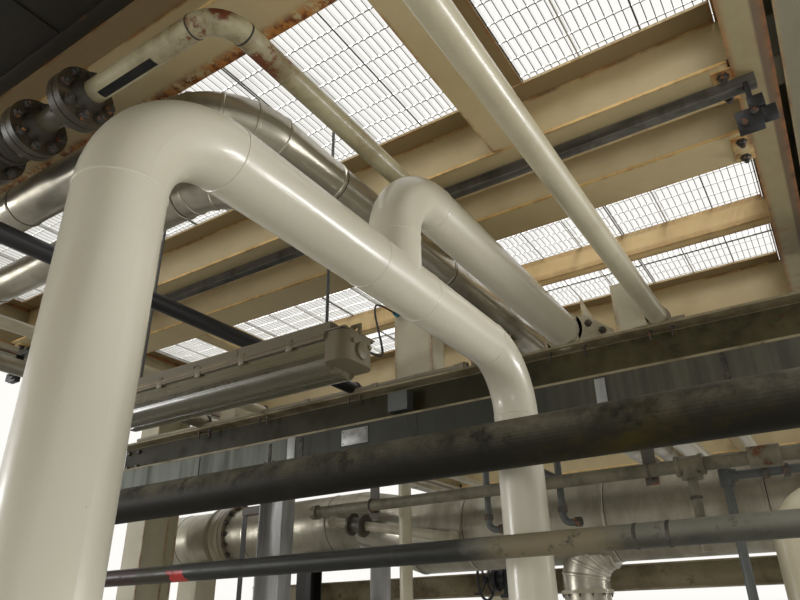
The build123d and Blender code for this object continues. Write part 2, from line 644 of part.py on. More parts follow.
gaskets += [along_x(small_gasket_face, x - small_joint_gap / 2, x + small_joint_gap / 2, small_y, small_z)
            for x in small_flange_x]
save("gaskets", gaskets)

# Saddles on the side ties and legs on the floor carry the large pipe
for x, z, radius in ((column_x[0], big_west_z, big_west_radius), (column_x[1], big_east_z, big_east_radius)):
    saddle = block(x - tie_half_width, x + tie_half_width, big_y - saddle_width / 2, big_y + saddle_width / 2,
                   tie_top, z - radius + saddle_wrap)
    saddle -= along_x(Circle(radius + touch), x - tie_section[1], x + tie_section[1], big_y, z)
    stands.append(saddle)
leg = along_z(h_face(leg_section), leg_plate_thickness, big_west_z - big_west_radius + saddle_wrap, leg_x, big_y)
leg -= along_x(Circle(big_west_radius + touch), leg_x - leg_plate, leg_x + leg_plate, big_y, big_west_z)
leg += along_z(Rectangle(leg_plate, leg_plate), 0, leg_plate_thickness, leg_x, big_y)
round_leg = pipe((round_leg_x, big_y, leg_plate_thickness), (round_leg_x, big_y, big_west_z),
                 round_leg_radius, round_leg_wall)
round_leg -= reducer(touch)
round_leg += along_z(Rectangle(leg_plate, leg_plate), 0, leg_plate_thickness, round_leg_x, big_y)
floor_stands = [leg, round_leg]

# The drop: a clad elbow out of the large pipe's underside, a ring and the pipe to the floor
drop_low = drop_z - drop_bend
drop_elbow = elbow((drop_x, big_y, drop_z), west, down, drop_bend, drop_radius, drop_wall)
drop_elbow -= along_x(Circle(big_east_radius + touch), reducer_east_x, big_reach, big_y, big_east_z)
clad_bends.append(drop_elbow)
save("clad_elbows", clad_bends)
drop_ring_top = drop_ring_z + drop_ring_thickness
clad_runs.append(pipe((drop_x, big_y, 0), (drop_x, big_y, drop_ring_z), drop_radius, drop_wall))
clad_runs.append(pipe((drop_x, big_y, drop_ring_top), (drop_x, big_y, drop_low), drop_radius, drop_wall))
save("clad_pipes", clad_runs)
large_flanges.append(pipe((drop_x, big_y, drop_ring_z), (drop_x, big_y, drop_ring_top), drop_ring_radius,
                          drop_ring_radius - drop_radius + drop_wall))
save("large_flanges", large_flanges)

# Sloped drain from the large pipe, with a flanged valve and a capped end
drain_y = portal + drain_ahead
drain_a = Vector(drain_start[0], drain_y, drain_start[1])
drain_run = Vector(drain_end[0], drain_y, drain_end[1]) - drain_a
drain_way = drain_run.normalized()
valve_centre = drain_a + drain_run * drain_valve_at
valve_a = valve_centre - drain_way * drain_valve_half
valve_b = valve_centre + drain_way * drain_valve_half
drain_b = drain_a + drain_run
nozzle_end = big_y - big_west_radius - touch
save("drain_pipe", [pipe(drain_a, valve_a, drain_radius, drain_wall), pipe(valve_b, drain_b, drain_radius,
                                                                           drain_wall)])
drain_joint = Pos(*drain_a) * Sphere(drain_cap_radius)
drain_joint += Plane(origin=drain_a, z_dir=north) * Pos(0, 0, (nozzle_end - drain_y) / 2) * Cylinder(
    drain_radius, nozzle_end - drain_y)
drain_joint -= extrude(Plane(origin=drain_a, z_dir=drain_way) * Circle(drain_radius + touch),
                       amount=drain_run.length)
drain_cap = extrude(Plane(origin=drain_b + drain_way * touch, z_dir=drain_way) * Circle(drain_cap_radius),
                    amount=drain_cap_radius)
drain_valve = extrude(Plane(origin=valve_a, z_dir=drain_way) * Circle(drain_valve_radius),
                      amount=2 * drain_valve_half)
drain_valve += flange(valve_a, drain_way, drain_flange_radius, drain_flange_thickness, 0)
drain_valve += flange(valve_b, -drain_way, drain_flange_radius, drain_flange_thickness, 0)
drain_valve -= extrude(Plane(origin=valve_a, z_dir=drain_way) * Circle(drain_radius - drain_wall),
                       amount=2 * drain_valve_half)
save("drain_fittings", [drain_joint, drain_cap, drain_valve])

# Header hung from the cross beam, with a domed end, a tee, a capped drop and a coupling
header_east_x = column_inside - touch
tee_reach = 2 * header_radius
save("header_pipe", [
    pipe((header_west_x, header_y, header_z), (header_tee_x - tee_reach, header_y, header_z),
         header_radius, header_wall),
    pipe((header_tee_x + tee_reach, header_y, header_z), (header_coupling[0], header_y, header_z),
         header_radius, header_wall),
    pipe((header_coupling[1], header_y, header_z), (header_east_x, header_y, header_z),
         header_radius, header_wall),
    pipe((header_tee_x, header_y, header_z - header_drop), (header_tee_x, header_y, header_z - tee_reach),
         header_drop_radius, header_wall),
])
header_bore = header_radius - header_wall
header_tee = along_x(Circle(header_fitting_radius), header_tee_x - tee_reach, header_tee_x + tee_reach,
                     header_y, header_z)
header_tee += along_z(Circle(header_fitting_radius), header_z - tee_reach, header_z, header_tee_x, header_y)
collar = header_collar_radius - header_fitting_radius
for x in (header_tee_x - tee_reach, header_tee_x + tee_reach - 4 * collar):
    header_tee += along_x(Circle(header_collar_radius), x, x + 4 * collar, header_y, header_z)
header_tee += along_z(Circle(header_collar_radius), header_z - tee_reach, header_z - tee_reach + 4 * collar,
                      header_tee_x, header_y)
header_tee -= along_x(Circle(header_bore), header_tee_x - tee_reach, header_tee_x + tee_reach, header_y,
                      header_z)
header_tee -= along_z(Circle(header_drop_radius - header_wall), header_z - tee_reach, header_z, header_tee_x,
                      header_y)
header_cap = along_x(Circle(header_fitting_radius), header_west_x - header_cap_length, header_west_x, header_y,
                     header_z)
header_cap = fillet(header_cap.edges().group_by(Axis.X)[0], header_fitting_radius - collar)
drop_cap = along_z(Circle(header_radius), header_z - header_drop - header_radius, header_z - header_drop,
                   header_tee_x, header_y)
coupling = along_x(ring(header_collar_radius, header_collar_radius - header_bore), *header_coupling, header_y,
                   header_z)
save("header_fittings", [header_tee, header_cap, drop_cap, coupling])
hangers = []
for x in header_hanger_x:
    strap = block(x - hanger_width / 2, x + hanger_width / 2, header_y + header_radius + touch,
                  header_y + header_radius + touch + hanger_thickness, header_z - tee_reach, tray_bottom)
    hangers.append(strap)

# Thin galvanised tubes behind the header, each with a bend at its low end
tube_y = portal + tube_ahead
tubes = []
for x in tube_x:
    tube = pipe((x, tube_y, tray_bottom), (x, tube_y, tube_bottom + tube_bend), tube_radius, tube_wall)
    tube += elbow((x, tube_y, tube_bottom), down, east, tube_bend, tube_radius, tube_wall)
    tube += pipe((x + tube_bend, tube_y, tube_bottom), (x + tube_reach, tube_y, tube_bottom), tube_radius,
                 tube_wall)
    tubes.append(tube)
save("drop_tubes", tubes)

# An upright pipe behind the header, and a conduit that turns to the east column
upright_y = portal + upright_ahead
upright_top = tray_bottom - hanger_thickness
upright = pipe((upright_x, upright_y, 0), (upright_x, upright_y, upright_top), upright_radius, upright_wall)
hangers.append(block(upright_x - upright_radius, upright_x + upright_radius,
                     portal + cross_section[1] / 2 - hanger_width, upright_y + upright_radius, upright_top,
                     tray_bottom))
save("header_hangers", hangers)
conduit_y = portal + conduit_ahead
fitting_low = conduit_z - conduit_fitting_half
fitting_end = conduit_x + conduit_fitting_half
save("conduit", [
    pipe((conduit_x, conduit_y, 0), (conduit_x, conduit_y, fitting_low), conduit_radius, conduit_wall),
    pipe((fitting_end, conduit_y, conduit_z), (column_x[1] - column_section[2] / 2 - touch, conduit_y, conduit_z),
         conduit_radius, conduit_wall),
])
conduit_tee = along_z(Circle(conduit_fitting_radius), fitting_low, conduit_z + conduit_fitting_radius,
                      conduit_x, conduit_y)
conduit_tee += along_x(Circle(conduit_fitting_radius), conduit_x, fitting_end, conduit_y, conduit_z)

# A bent pipe that leaves across the east side
bent = pipe((bent_x, bent_y, foot_thickness), (bent_x, bent_y, bent_z - bent_bend), bent_radius, bent_wall)
bent += elbow((bent_x, bent_y, bent_z), up, east, bent_bend, bent_radius, bent_wall)
bent += pipe((bent_x + bent_bend, bent_y, bent_z), (cross_pipe_reach, bent_y, bent_z), bent_radius, bent_wall)
save("upright_pipes", [upright, bent])
stands.append(block(column_x[1] - tie_half_width, column_x[1] + tie_half_width, bent_y - bent_radius / 2,
                    bent_y + bent_radius / 2, tie_top, bent_z - bent_radius - touch))
bent_foot = flange((bent_x, bent_y, 0), up, bent_foot_radius, foot_thickness, 0)

# A galvanised stand west of the header, its arm and the thin prop under the arm's end
stand_y = portal + stand_ahead
stand_half = stand_section[0] / 2
stand_bottom = tray_bottom - stand_plate
stand = along_z(Rot(0, 0, 90) * h_face(stand_section), leg_plate_thickness, stand_bottom, stand_x, stand_y)
stand += along_z(Rectangle(leg_plate, leg_plate), 0, leg_plate_thickness, stand_x, stand_y)
beam_edge = portal + cross_section[1] / 2
stand += block(stand_x - stand_half, stand_x + stand_half, beam_edge - stand_lap,
               stand_y + stand_section[1] / 2, stand_bottom, tray_bottom)
arm = along_x(channel_face(arm_depth, arm_width, prop_wall, prop_wall), arm_west_x, stand_x - stand_half - touch,
              stand_y - arm_width / 2, arm_top - arm_depth / 2)
save("stand_arm", [arm])
prop = Rectangle(prop_side, prop_side) - Pos(prop_wall, prop_wall) * Rectangle(prop_side, prop_side)
prop = along_z(prop, 0, arm_top - arm_depth, arm_west_x + prop_side / 2, stand_y)
save("floor_stands", floor_stands + [stand, prop])

# A guide plate beside the branch on the cross beam, and a box on the cross beam's web
guide_x = main_x + main_radius + guide_gap
guide = block(guide_x, guide_x + guide_length, portal - guide_base * 4, portal + guide_base * 4,
              cross_beam_top, cross_beam_top + guide_base)
corners = ((guide_x, guide_base), (guide_x + guide_length, guide_base), (guide_x, guide_height))
gusset = Polyline(*[(x, portal, cross_beam_top + z) for x, z in corners], close=True)
guide += extrude(make_face(gusset), amount=guide_thickness / 2, both=True)
save("pipe_stands", stands + [guide])
web_face_y = portal - cross_section[2] / 2
junction_box = block(box_x - box_width / 2, box_x + box_width / 2, web_face_y - box_depth, web_face_y,
                     cross_z - box_height / 2, cross_z + box_height / 2)
save("conduit_fittings", [conduit_tee, junction_box])

# Gate valve: a drop from the large pipe, the valve and the pipe below it
valve_top, valve_low = valve_z + valve_half, valve_z - valve_half
save("valve_pipes", [
    pipe((valve_x, valve_y, foot_thickness), (valve_x, valve_y, valve_low), valve_pipe_radius, valve_pipe_wall),
    pipe((valve_x, valve_y, valve_top), (valve_x, valve_y, big_east_z - valve_bend), valve_pipe_radius,
         valve_pipe_wall),
    pipe((valve_x, valve_y - valve_bend, big_east_z), (valve_x, big_y + big_east_radius + touch, big_east_z),
         valve_pipe_radius, valve_pipe_wall),
])
save("pipe_feet", [bent_foot, flange((valve_x, valve_y, 0), up, valve_flange_radius, foot_thickness, 0)])
body = along_z(Circle(valve_body_radius), valve_low, valve_top, valve_x, valve_y)
for z in (valve_low, valve_top - valve_flange_thickness):
    body += along_z(Circle(valve_flange_radius), z, z + valve_flange_thickness, valve_x, valve_y)
for reach, radius in ((bonnet_reach, bonnet_radius), (yoke_reach, yoke_radius), (stem_reach, stem_radius)):
    body += extrude(Plane(origin=(valve_x, valve_y, valve_z), z_dir=west) * Circle(radius), amount=reach)
bonnet_face = Plane(origin=(valve_x - bonnet_reach, valve_y, valve_z), z_dir=west)
body += extrude(bonnet_face * Circle(bonnet_flange_radius), amount=bonnet_flange_thickness)
body -= along_z(Circle(valve_pipe_radius - valve_pipe_wall), valve_low, valve_top, valve_x, valve_y)
save("valve_body", [body])
wheel_x = valve_x - wheel_reach
wheel_plane = Plane(origin=(wheel_x, valve_y, valve_z), z_dir=west)
wheel = wheel_plane * Torus(wheel_radius, wheel_rim_radius)
wheel += extrude(wheel_plane * Circle(wheel_hub_radius), amount=wheel_hub_length / 2, both=True)
for i in range(wheel_spokes):
    turn = Rot(0, 0, spoke_turn + 360 / wheel_spokes * i)
    spoke = turn * Pos(wheel_radius / 2, 0) * Box(wheel_radius, spoke_width, wheel_rim_radius)
    wheel += wheel_plane * spoke
peg = wheel_plane * Rot(0, 0, spoke_turn) * Pos(wheel_radius, 0, wheel_peg_length / 2)
wheel += peg * Cylinder(wheel_peg_radius, wheel_peg_length)
wheel -= extrude(wheel_plane * Circle(stem_radius + wheel_clearance), amount=wheel_hub_length, both=True)
save("valve_handwheel", [wheel])


# Luminaire under the deck: a tray with a lid, a lens with a groove, and end caps with lugs
lid_top = lamp_z + lid_height
tray_top = lamp_z + lamp_tray_height
tray_half, lid_half = tray_width / 2, lid_width / 2
tray_part = block(lamp_x0, lamp_x1, lamp_y - tray_half, lamp_y + tray_half, lid_top, tray_top)
lid_part = block(lamp_x0, lamp_x1, lamp_y - lid_half, lamp_y + lid_half, lamp_z - lid_lip, lid_top)
save("luminaire_body", [tray_part + lid_part])
lens_top = lamp_z - lid_lip
lens = block(lamp_x0, lamp_x1, lamp_y - lens_width / 2, lamp_y + lens_width / 2, lens_top - lens_height, lens_top)
low_edges = lens.edges().filter_by(Axis.X).group_by(Axis.Z)[0]
lens = fillet(low_edges, lens_round)
lens -= along_x(Circle(lens_groove), lamp_x0, lamp_x1, lamp_y, lens_top - lens_height)
save("luminaire_lens", [lens])
caps = []
for side, x in ((-1, lamp_x0), (1, lamp_x1)):
    x0, x1 = sorted((x + side * touch, x + side * cap_length))
    half = lid_half - cap_inset
    end_cap = block(x0, x1, lamp_y - half, lamp_y + half, lamp_z - cap_drop, lid_top)
    outer = end_cap.edges().filter_by(Axis.Z).group_by(Axis.X)[0 if side < 0 else -1]
    end_cap = fillet(outer, cap_round)
    lug_x = x + side * (cap_length - lug_side / 2)
    lug = block(lug_x - lug_side / 2, lug_x + lug_side / 2, lamp_y - lug_thickness / 2,
                lamp_y + lug_thickness / 2, lid_top, lid_top + lug_side)
    lug -= Pos(lug_x, lamp_y, lid_top + lug_side / 2) * Rot(90, 0, 0) * Cylinder(lug_hole, lug_side)
    caps.append(end_cap + lug)
save("luminaire_caps", caps)
rods = []
for x in lamp_rod_x:
    rod = along_z(Circle(lamp_rod_radius), tray_top, deck_level - rod_plate_thickness, x, lamp_y)
    rod += along_z(Rectangle(rod_plate, rod_plate), deck_level - rod_plate_thickness, deck_level, x, lamp_y)
    rods.append(rod)
save("luminaire_rods", rods)

# The luminaire's cable, held by a gland on the tray's side and by one on the box post
gland_a = Vector(lamp_x1 - gland_inset, lamp_y + tray_half, (lid_top + tray_top) / 2)
gland_b = Vector(bearer_x[1] - post_width / 2 + gland_inset, portal - post_depth / 2, cable_post_z)
save("cable_glands", [
    extrude(Plane(origin=gland_a, z_dir=north) * Circle(gland_radius), amount=gland_length),
    extrude(Plane(origin=gland_b, z_dir=south) * Circle(gland_radius), amount=gland_length),
])
cable_start = gland_a + Vector(0, gland_length + touch, 0)
cable_end = gland_b - Vector(0, gland_length + touch, 0)
cable_middle = (cable_start + cable_end) / 2 - Vector(0, 0, cable_sag)
cable_path = Spline(cable_start, cable_middle, cable_end, tangents=(north, north))
cable_face = Plane(origin=cable_path @ 0, z_dir=cable_path % 0) * Circle(cable_radius)
save("luminaire_cable", [sweep(cable_face, path=cable_path)])
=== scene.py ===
"""Industrial pipe bridge, seen from under its deck in the middle bay."""
import bpy
import bmesh
import math
from mathutils import Matrix, Vector


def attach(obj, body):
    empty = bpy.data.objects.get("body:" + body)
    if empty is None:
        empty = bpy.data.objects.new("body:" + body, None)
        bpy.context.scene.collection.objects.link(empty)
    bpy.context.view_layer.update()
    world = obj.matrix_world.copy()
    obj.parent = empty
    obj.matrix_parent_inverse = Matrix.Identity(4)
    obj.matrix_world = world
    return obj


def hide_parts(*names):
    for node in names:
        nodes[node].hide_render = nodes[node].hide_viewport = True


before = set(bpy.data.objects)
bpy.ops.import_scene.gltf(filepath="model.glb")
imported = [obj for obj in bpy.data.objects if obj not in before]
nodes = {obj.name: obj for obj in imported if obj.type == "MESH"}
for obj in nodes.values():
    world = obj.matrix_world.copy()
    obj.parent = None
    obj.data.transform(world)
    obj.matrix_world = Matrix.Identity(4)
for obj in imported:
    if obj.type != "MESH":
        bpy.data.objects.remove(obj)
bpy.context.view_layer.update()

# The camera stands at head height in the middle bay, under the deck and beside the
# main spool. It looks along the bridge and up, with a slight lean.
camera_place = (2.055, -0.17, 1.55)
camera_azimuth, camera_pitch, camera_lean = 32.39, 26.21, -1.0
camera_data = bpy.data.cameras.new("camera")
camera_data.lens = 30.1
camera_data.sensor_width = 36
camera_data.clip_start = 0.02
camera = bpy.data.objects.new("camera", camera_data)
camera.matrix_world = (Matrix.Translation(camera_place)
                       @ Matrix.Rotation(math.radians(camera_azimuth), 4, "Z")
                       @ Matrix.Rotation(math.radians(90 + camera_pitch), 4, "X")
                       @ Matrix.Rotation(math.radians(camera_lean), 4, "Z"))
bpy.context.scene.collection.objects.link(camera)
bpy.context.scene.camera = camera
bpy.context.scene.view_settings.view_transform = "Standard"


# These classes write a material's shader nodes as sums, products and blends, so that
# each finish below reads as a short recipe.
class Value:
    """A shader socket that sums and products can be written with."""

    def __init__(self, finish, socket):
        self.finish, self.socket = finish, socket

    def maths(self, operation, first, second):
        return self.finish.node("ShaderNodeMath", {"operation": operation}, {0: first, 1: second}).first()

    def __add__(self, other):
        return self.maths("ADD", self, other)

    def __radd__(self, other):
        return self.maths("ADD", other, self)

    def __sub__(self, other):
        return self.maths("SUBTRACT", self, other)

    def __rsub__(self, other):
        return self.maths("SUBTRACT", other, self)

    def __mul__(self, other):
        return self.maths("MULTIPLY", self, other)

    def largest(self, other):
        return self.maths("MAXIMUM", self, other)

    def wrap(self, length):
        return self.maths("FLOORED_MODULO", self, length)

    def away(self):
        return self.maths("ABSOLUTE", self, 0.0)

    def between(self, low, high):
        """0 below low, 1 above high, smooth between; low may be the larger."""
        smooth, ranges = {"interpolation_type": "SMOOTHSTEP"}, {0: self, 1: low, 2: high, 3: 0.0, 4: 1.0}
        return self.finish.node("ShaderNodeMapRange", smooth, ranges).first()


class Made:
    """A node that has been made, with its outputs at hand."""

    def __init__(self, finish, node):
        self.finish, self.node = finish, node

    def out(self, name):
        return Value(self.finish, self.node.outputs[name])

    def first(self):
        return self.out(0)


class Finish:
    """A material in the making."""

    def __init__(self, name, roughness=0.5, metallic=0.0, **fixed):
        self.material = bpy.data.materials.new(name)
        self.material.use_nodes = True
        self.tree = self.material.node_tree
        self.shader = self.tree.nodes["Principled BSDF"]
        self.shader.inputs["Roughness"].default_value = roughness
        self.shader.inputs["Metallic"].default_value = metallic
        for socket, value in fixed.items():
            label = socket.replace("_", " ").title().replace("Ior", "IOR")
            self.shader.inputs[label].default_value = value
        self.place = self.node("ShaderNodeTexCoord").out("Object")

    def node(self, kind, settings=None, values=None):
        made = self.tree.nodes.new(kind)
        for name, value in (settings or {}).items():
            setattr(made, name, value)
        for key, value in (values or {}).items():
            if isinstance(value, Value):
                self.tree.links.new(value.socket, made.inputs[key])
            else:
                made.inputs[key].default_value = value
        return Made(self, made)

    def axes(self):
        split = self.node("ShaderNodeSeparateXYZ", {}, {0: self.place})
        return split.out("X"), split.out("Y"), split.out("Z")

    def stretch(self, x, y, z):
        vectors = {0: self.place, 1: (x, y, z)}
        return self.node("ShaderNodeVectorMath", {"operation": "MULTIPLY"}, vectors).first()

    def noise(self, scale, detail=3.0, rough=0.55, where=None):
        values = {"Vector": where or self.place, "Scale": scale, "Detail": detail, "Roughness": rough,
                  "W": 0.0}
        return self.node("ShaderNodeTexNoise", {"noise_dimensions": "4D"}, values).first()

    def cells(self, scale, where=None):
        made = self.node("ShaderNodeTexVoronoi", {}, {"Vector": where or self.place, "Scale": scale})
        return made.out("Color")

    def mix(self, factor, low, high):
        values = {0: factor, 6: (*low, 1) if isinstance(low, tuple) else low,
                  7: (*high, 1) if isinstance(high, tuple) else high}
        return self.node("ShaderNodeMix", {"data_type": "RGBA"}, values).out(2)

    def edges(self, reach, low=0.03, high=0.35):
        """1 along the sharp edges of a piece, within about the reach."""
        rounded = self.node("ShaderNodeBevel", {"samples": 6}, {"Radius": reach}).first()
        flat = self.node("ShaderNodeNewGeometry").out("True Normal")
        dot = self.node("ShaderNodeVectorMath", {"operation": "DOT_PRODUCT"}, {0: rounded, 1: flat})
        return (1 - dot.out("Value")).between(low, high)

    def facing(self, axis):
        """How much a surface faces up, or along another axis."""
        flat = self.node("ShaderNodeNewGeometry").out("True Normal")
        return self.node("ShaderNodeSeparateXYZ", {}, {0: flat}).out(axis)

    def bump(self, height, distance, strength=1.0):
        values = {"Height": height, "Distance": distance, "Strength": strength}
        self.send("Normal", self.node("ShaderNodeBump", {}, values).first())

    def complete(self, colour, rough, height, distance):
        """Wires the sockets that most finishes vary: colour, roughness and bump."""
        self.send("Base Color", colour)
        self.send("Roughness", rough)
        self.bump(height, distance)

    def send(self, socket, value):
        self.tree.links.new(value.socket, self.shader.inputs[socket])


def dress(material, *names):
    """Gives CAD nodes their finish."""
    for name in names:
        for slot in nodes[name].material_slots:
            slot.link = "OBJECT"
            slot.material = material


# The floor is a plain pale slab of paint, and the world is an even white sky. To the
# camera and in gloss both look paler than the light that they give.
floor_reach = 60.0
floor_mesh = bpy.data.meshes.new("floor")
form = bmesh.new()
bmesh.ops.create_grid(form, x_segments=1, y_segments=1, size=floor_reach)
form.to_mesh(floor_mesh)
form.free()
floor = bpy.data.objects.new("floor", floor_mesh)
bpy.context.scene.collection.objects.link(floor)
floor_colour, pale_colour = (0.60, 0.59, 0.56), (0.93, 0.93, 0.92)
finish = Finish("floor_paint", roughness=0.9)
seen_pale = finish.node("ShaderNodeLightPath")
shown_to = seen_pale.out("Is Camera Ray").largest(seen_pale.out("Is Glossy Ray"))
finish.send("Base Color", finish.mix(shown_to, floor_colour, pale_colour))
floor_mesh.materials.append(finish.material)

world = bpy.data.worlds.new("world")
bpy.context.scene.world = world
world.use_nodes = True
sky = world.node_tree
background = sky.nodes["Background"]
light_path = sky.nodes.new("ShaderNodeLightPath")
shown = sky.nodes.new("ShaderNodeMath")
shown.operation = "MAXIMUM"
seen = sky.nodes.new("ShaderNodeMath")
seen.operation = "MAXIMUM"
sky.links.new(light_path.outputs["Is Camera Ray"], seen.inputs[0])
sky.links.new(light_path.outputs["Is Glossy Ray"], seen.inputs[1])
sky.links.new(seen.outputs[0], shown.inputs[0])
sky.links.new(light_path.outputs["Is Transmission Ray"], shown.inputs[1])
sky_light = 0.44
strength = sky.nodes.new("ShaderNodeMapRange")
strength.inputs["To Min"].default_value = sky_light
strength.inputs["To Max"].default_value = 1.0
sky.links.new(shown.outputs[0], strength.inputs["Value"])
sky.links.new(strength.outputs[0], background.inputs["Strength"])
background.inputs["Color"].default_value = (1, 0.985, 0.95, 1)


def lamp(name, place, target, size, watts, spread=180):
    """A soft square lamp that shines from its place to its target."""
    data = bpy.data.lights.new(name, "AREA")
    data.energy = watts
    data.size = size
    data.spread = math.radians(spread)
    made = bpy.data.objects.new(name, data)
    aim = (Vector(target) - Vector(place)).to_track_quat("-Z", "Y")
    made.matrix_world = Matrix.Translation(place) @ aim.to_matrix().to_4x4()
    bpy.context.scene.collection.objects.link(made)


lamp("lamp_above", (6, -6, 12), (0, 0, 2), 6.0, 1200)
lamp("lamp_west", (-9.0, -4.6, 2.2), (0.6, 1.2, 2.6), 3.0, 75, 70)
lamp("lamp_north", (8.0, 6.6, 1.2), (1.0, 0.4, 1.8), 2.2, 34, 50)
lamp("lamp_under", (3.3, -3.4, 0.9), (0.6, 1.6, 2.8), 1.4, 8, 80)

# The steel frame is rolled sections under cream paint that has gone matt and dirty.
# Rust creeps in from the flange edges and runs in short streaks.
rust = (0.36, 0.13, 0.03)
rust_dark = (0.09, 0.032, 0.014)
golden = (0.74, 0.49, 0.17)


def frame_paint(name, paint, shade, rust_reach, rust_amount, stain=0.5, streaks=0.0, lip=0.0, outer=0.0):
    """Cream paint with dirt in patches, a golden stain and rust along the edges."""
    finish = Finish(name, roughness=0.55)
    patches = finish.noise(1.3, 4.0).between(0.42, 0.72)
    fine = finish.noise(22.0, 3.0).between(0.35, 0.75)
    base = finish.mix(patches * 0.45 + fine * 0.12, paint, shade)
    if streaks:
        runs = finish.noise(7.0, 4.0, 0.6, finish.stretch(1.0, 1.0, 0.12)).between(0.48, 0.78)
        base = finish.mix(runs * streaks, base, (0.27, 0.135, 0.045))
    edge = finish.edges(rust_reach)
    cloud = finish.noise(2.3, 4.0, 0.6).between(0.35, 0.65)
    base = finish.mix(edge * cloud * stain, base, golden)
    if lip:
        # The flange's side faces at the lip are painted bright gold: a painted highlight on lit edges, with
        # golden rust.
        lit_rusty_flange_edge = finish.axes()[2].between(lip + 0.006, lip) * finish.facing("Z").away().between(0.6, 0.3)
        base = finish.mix(lit_rusty_flange_edge * 0.9, base, (0.90, 0.62, 0.24))
        # Faces that look down just under the deck get painted shade in dark brown, mixed with rust.
        shaded_underside = finish.axes()[2].between(3.44, 3.47) * finish.facing("Z").between(-0.4, -0.8)
        base = finish.mix(shaded_underside * 0.62, base, (0.17, 0.12, 0.075))
        worst = (finish.axes()[1].wrap(6.0) - 0.897).away().between(0.060, 0.020)
        worst = worst * finish.axes()[0].between(-0.75, -0.45) * finish.axes()[0].between(1.35, 1.15)
        flakes = finish.noise(17.0, 6.0, 0.72).between(0.42, 0.50)
        deep = finish.noise(31.0, 4.0, 0.7).between(0.42, 0.58)
        low = finish.axes()[2].between(lip + 0.05, lip)
        flaked = finish.mix(deep, (0.50, 0.21, 0.045), (0.17, 0.045, 0.012))
        base = finish.mix(worst * flakes * low, base, flaked)
    if outer:
        sooty = finish.axes()[0].away().between(outer, outer + 0.012)
        base = finish.mix(sooty * 0.8, base, (0.115, 0.065, 0.042))
    broken = finish.noise(5.0, 5.0, 0.7).between(0.62 - rust_amount, 0.80 - rust_amount)
    specks = finish.noise(38.0, 4.0, 0.7).between(0.68, 0.78) * finish.noise(2.1, 2.0).between(0.5, 0.7)
    rusty = (edge * broken).largest(specks * 0.8)
    depth = finish.noise(14.0, 4.0).between(0.4, 0.7)
    finish.complete(finish.mix(rusty, base, finish.mix(depth, rust, rust_dark)),
                    0.5 + rusty * 0.35 + patches * 0.1, rusty * 0.6 + fine * 0.2, 0.002)
    return finish.material


frame_cream = frame_paint("frame_cream", (0.60, 0.56, 0.42), (0.40, 0.36, 0.23), 0.03, 0.18)
dress(frame_cream, "columns", "deck_posts", "pipe_stands", "rail_posts", "guard_rails", "girder_packers",
      "side_ties")
deck_ochre = frame_paint("deck_ochre", (0.60, 0.49, 0.28), (0.44, 0.33, 0.15), 0.030, 0.20, 0.95,
                         lip=3.218)
dress(deck_ochre, "deck_beams", "stub_beams")
channel_golden = frame_paint("channel_golden", (0.88, 0.66, 0.33), (0.68, 0.40, 0.13), 0.04, 0.28, 1.0, 0.40)
dress(channel_golden, "deck_channels")
edge_ochre = frame_paint("edge_ochre", (0.36, 0.31, 0.175), (0.19, 0.135, 0.065), 0.040, 0.40, 1.0, 0.65,
                         outer=2.185)
dress(edge_ochre, "edge_beams")
girder_olive = frame_paint("girder_olive", (0.27, 0.25, 0.17), (0.15, 0.13, 0.08), 0.03, 0.22, 0.4)
dress(girder_olive, "main_girders")

# The portal beams under the pipes have painted shade on the web, nearly black and lighter toward
# the east, and painted light on the outer faces of their flanges, with dirt and rust in patches.
finish = Finish("beam_olive", roughness=0.6, specular_ior_level=0.2)
beam_x, _, beam_z = finish.axes()
lit_flange_faces = beam_z.between(2.802, 2.807).largest(beam_z.between(2.636, 2.631))
dirt = finish.noise(3.4, 5.0, 0.65).between(0.4, 0.7)
rusty = finish.noise(9.0, 5.0, 0.7).between(0.58, 0.68)
shaded_web = finish.mix(beam_x.between(0.4, 1.4), (0.036, 0.031, 0.013), (0.098, 0.086, 0.040))
base = finish.mix(dirt, shaded_web, (0.024, 0.020, 0.010))
lit = finish.mix(dirt, (0.33, 0.285, 0.18), (0.13, 0.10, 0.055))
base = finish.mix(lit_flange_faces, base, lit)
finish.complete(finish.mix(rusty * 0.6, base, rust_dark),
                0.5 + dirt * 0.2 + rusty * 0.2, dirt * 0.4 + rusty * 0.5, 0.001)
dress(finish.material, "cross_beams")

# What stands on the ground is dark primer, and the deck plates are darker still, in painted shade.
frame_dark = frame_paint("frame_dark", (0.09, 0.08, 0.065), (0.05, 0.045, 0.035), 0.02, 0.15, 0.2)
dress(frame_dark, "base_plates", "header_hangers", "riser_pedestals", "stand_arm")
plate_painted_shade = frame_paint("plate_painted_shade", (0.030, 0.026, 0.021), (0.016, 0.014, 0.012), 0.02, 0.10, 0.1)
dress(plate_painted_shade, "deck_plates")


# The painted pipes are cream too, but cleaner and glossier, with dust on their tops
# and a few rust freckles.
def pipe_paint(name, paint, shade, gloss, grime=0.0, coat=0.25):
    finish = Finish(name, roughness=gloss, coat_weight=coat, coat_roughness=0.12)
    patches = finish.noise(2.2, 4.0).between(0.45, 0.75)
    fine = finish.noise(60.0, 3.0).between(0.4, 0.8)
    top = finish.facing("Z").between(0.2, 0.9)
    base = finish.mix(patches * 0.18 + top * 0.15, paint, shade)
    if grime:
        film = finish.noise(4.5, 5.0, 0.65).between(0.42, 0.66)
        base = finish.mix(film * grime, base, (0.20, 0.15, 0.07))
    freckle = finish.noise(30.0, 4.0, 0.7).between(0.71, 0.76) * finish.noise(1.7, 2.0).between(0.5, 0.62)
    finish.complete(finish.mix(freckle, base, rust),
                    gloss + patches * 0.05 + freckle * 0.3, fine * 0.3 + finish.noise(9.0, 2.0) * 0.5, 0.0008)
    return finish.material


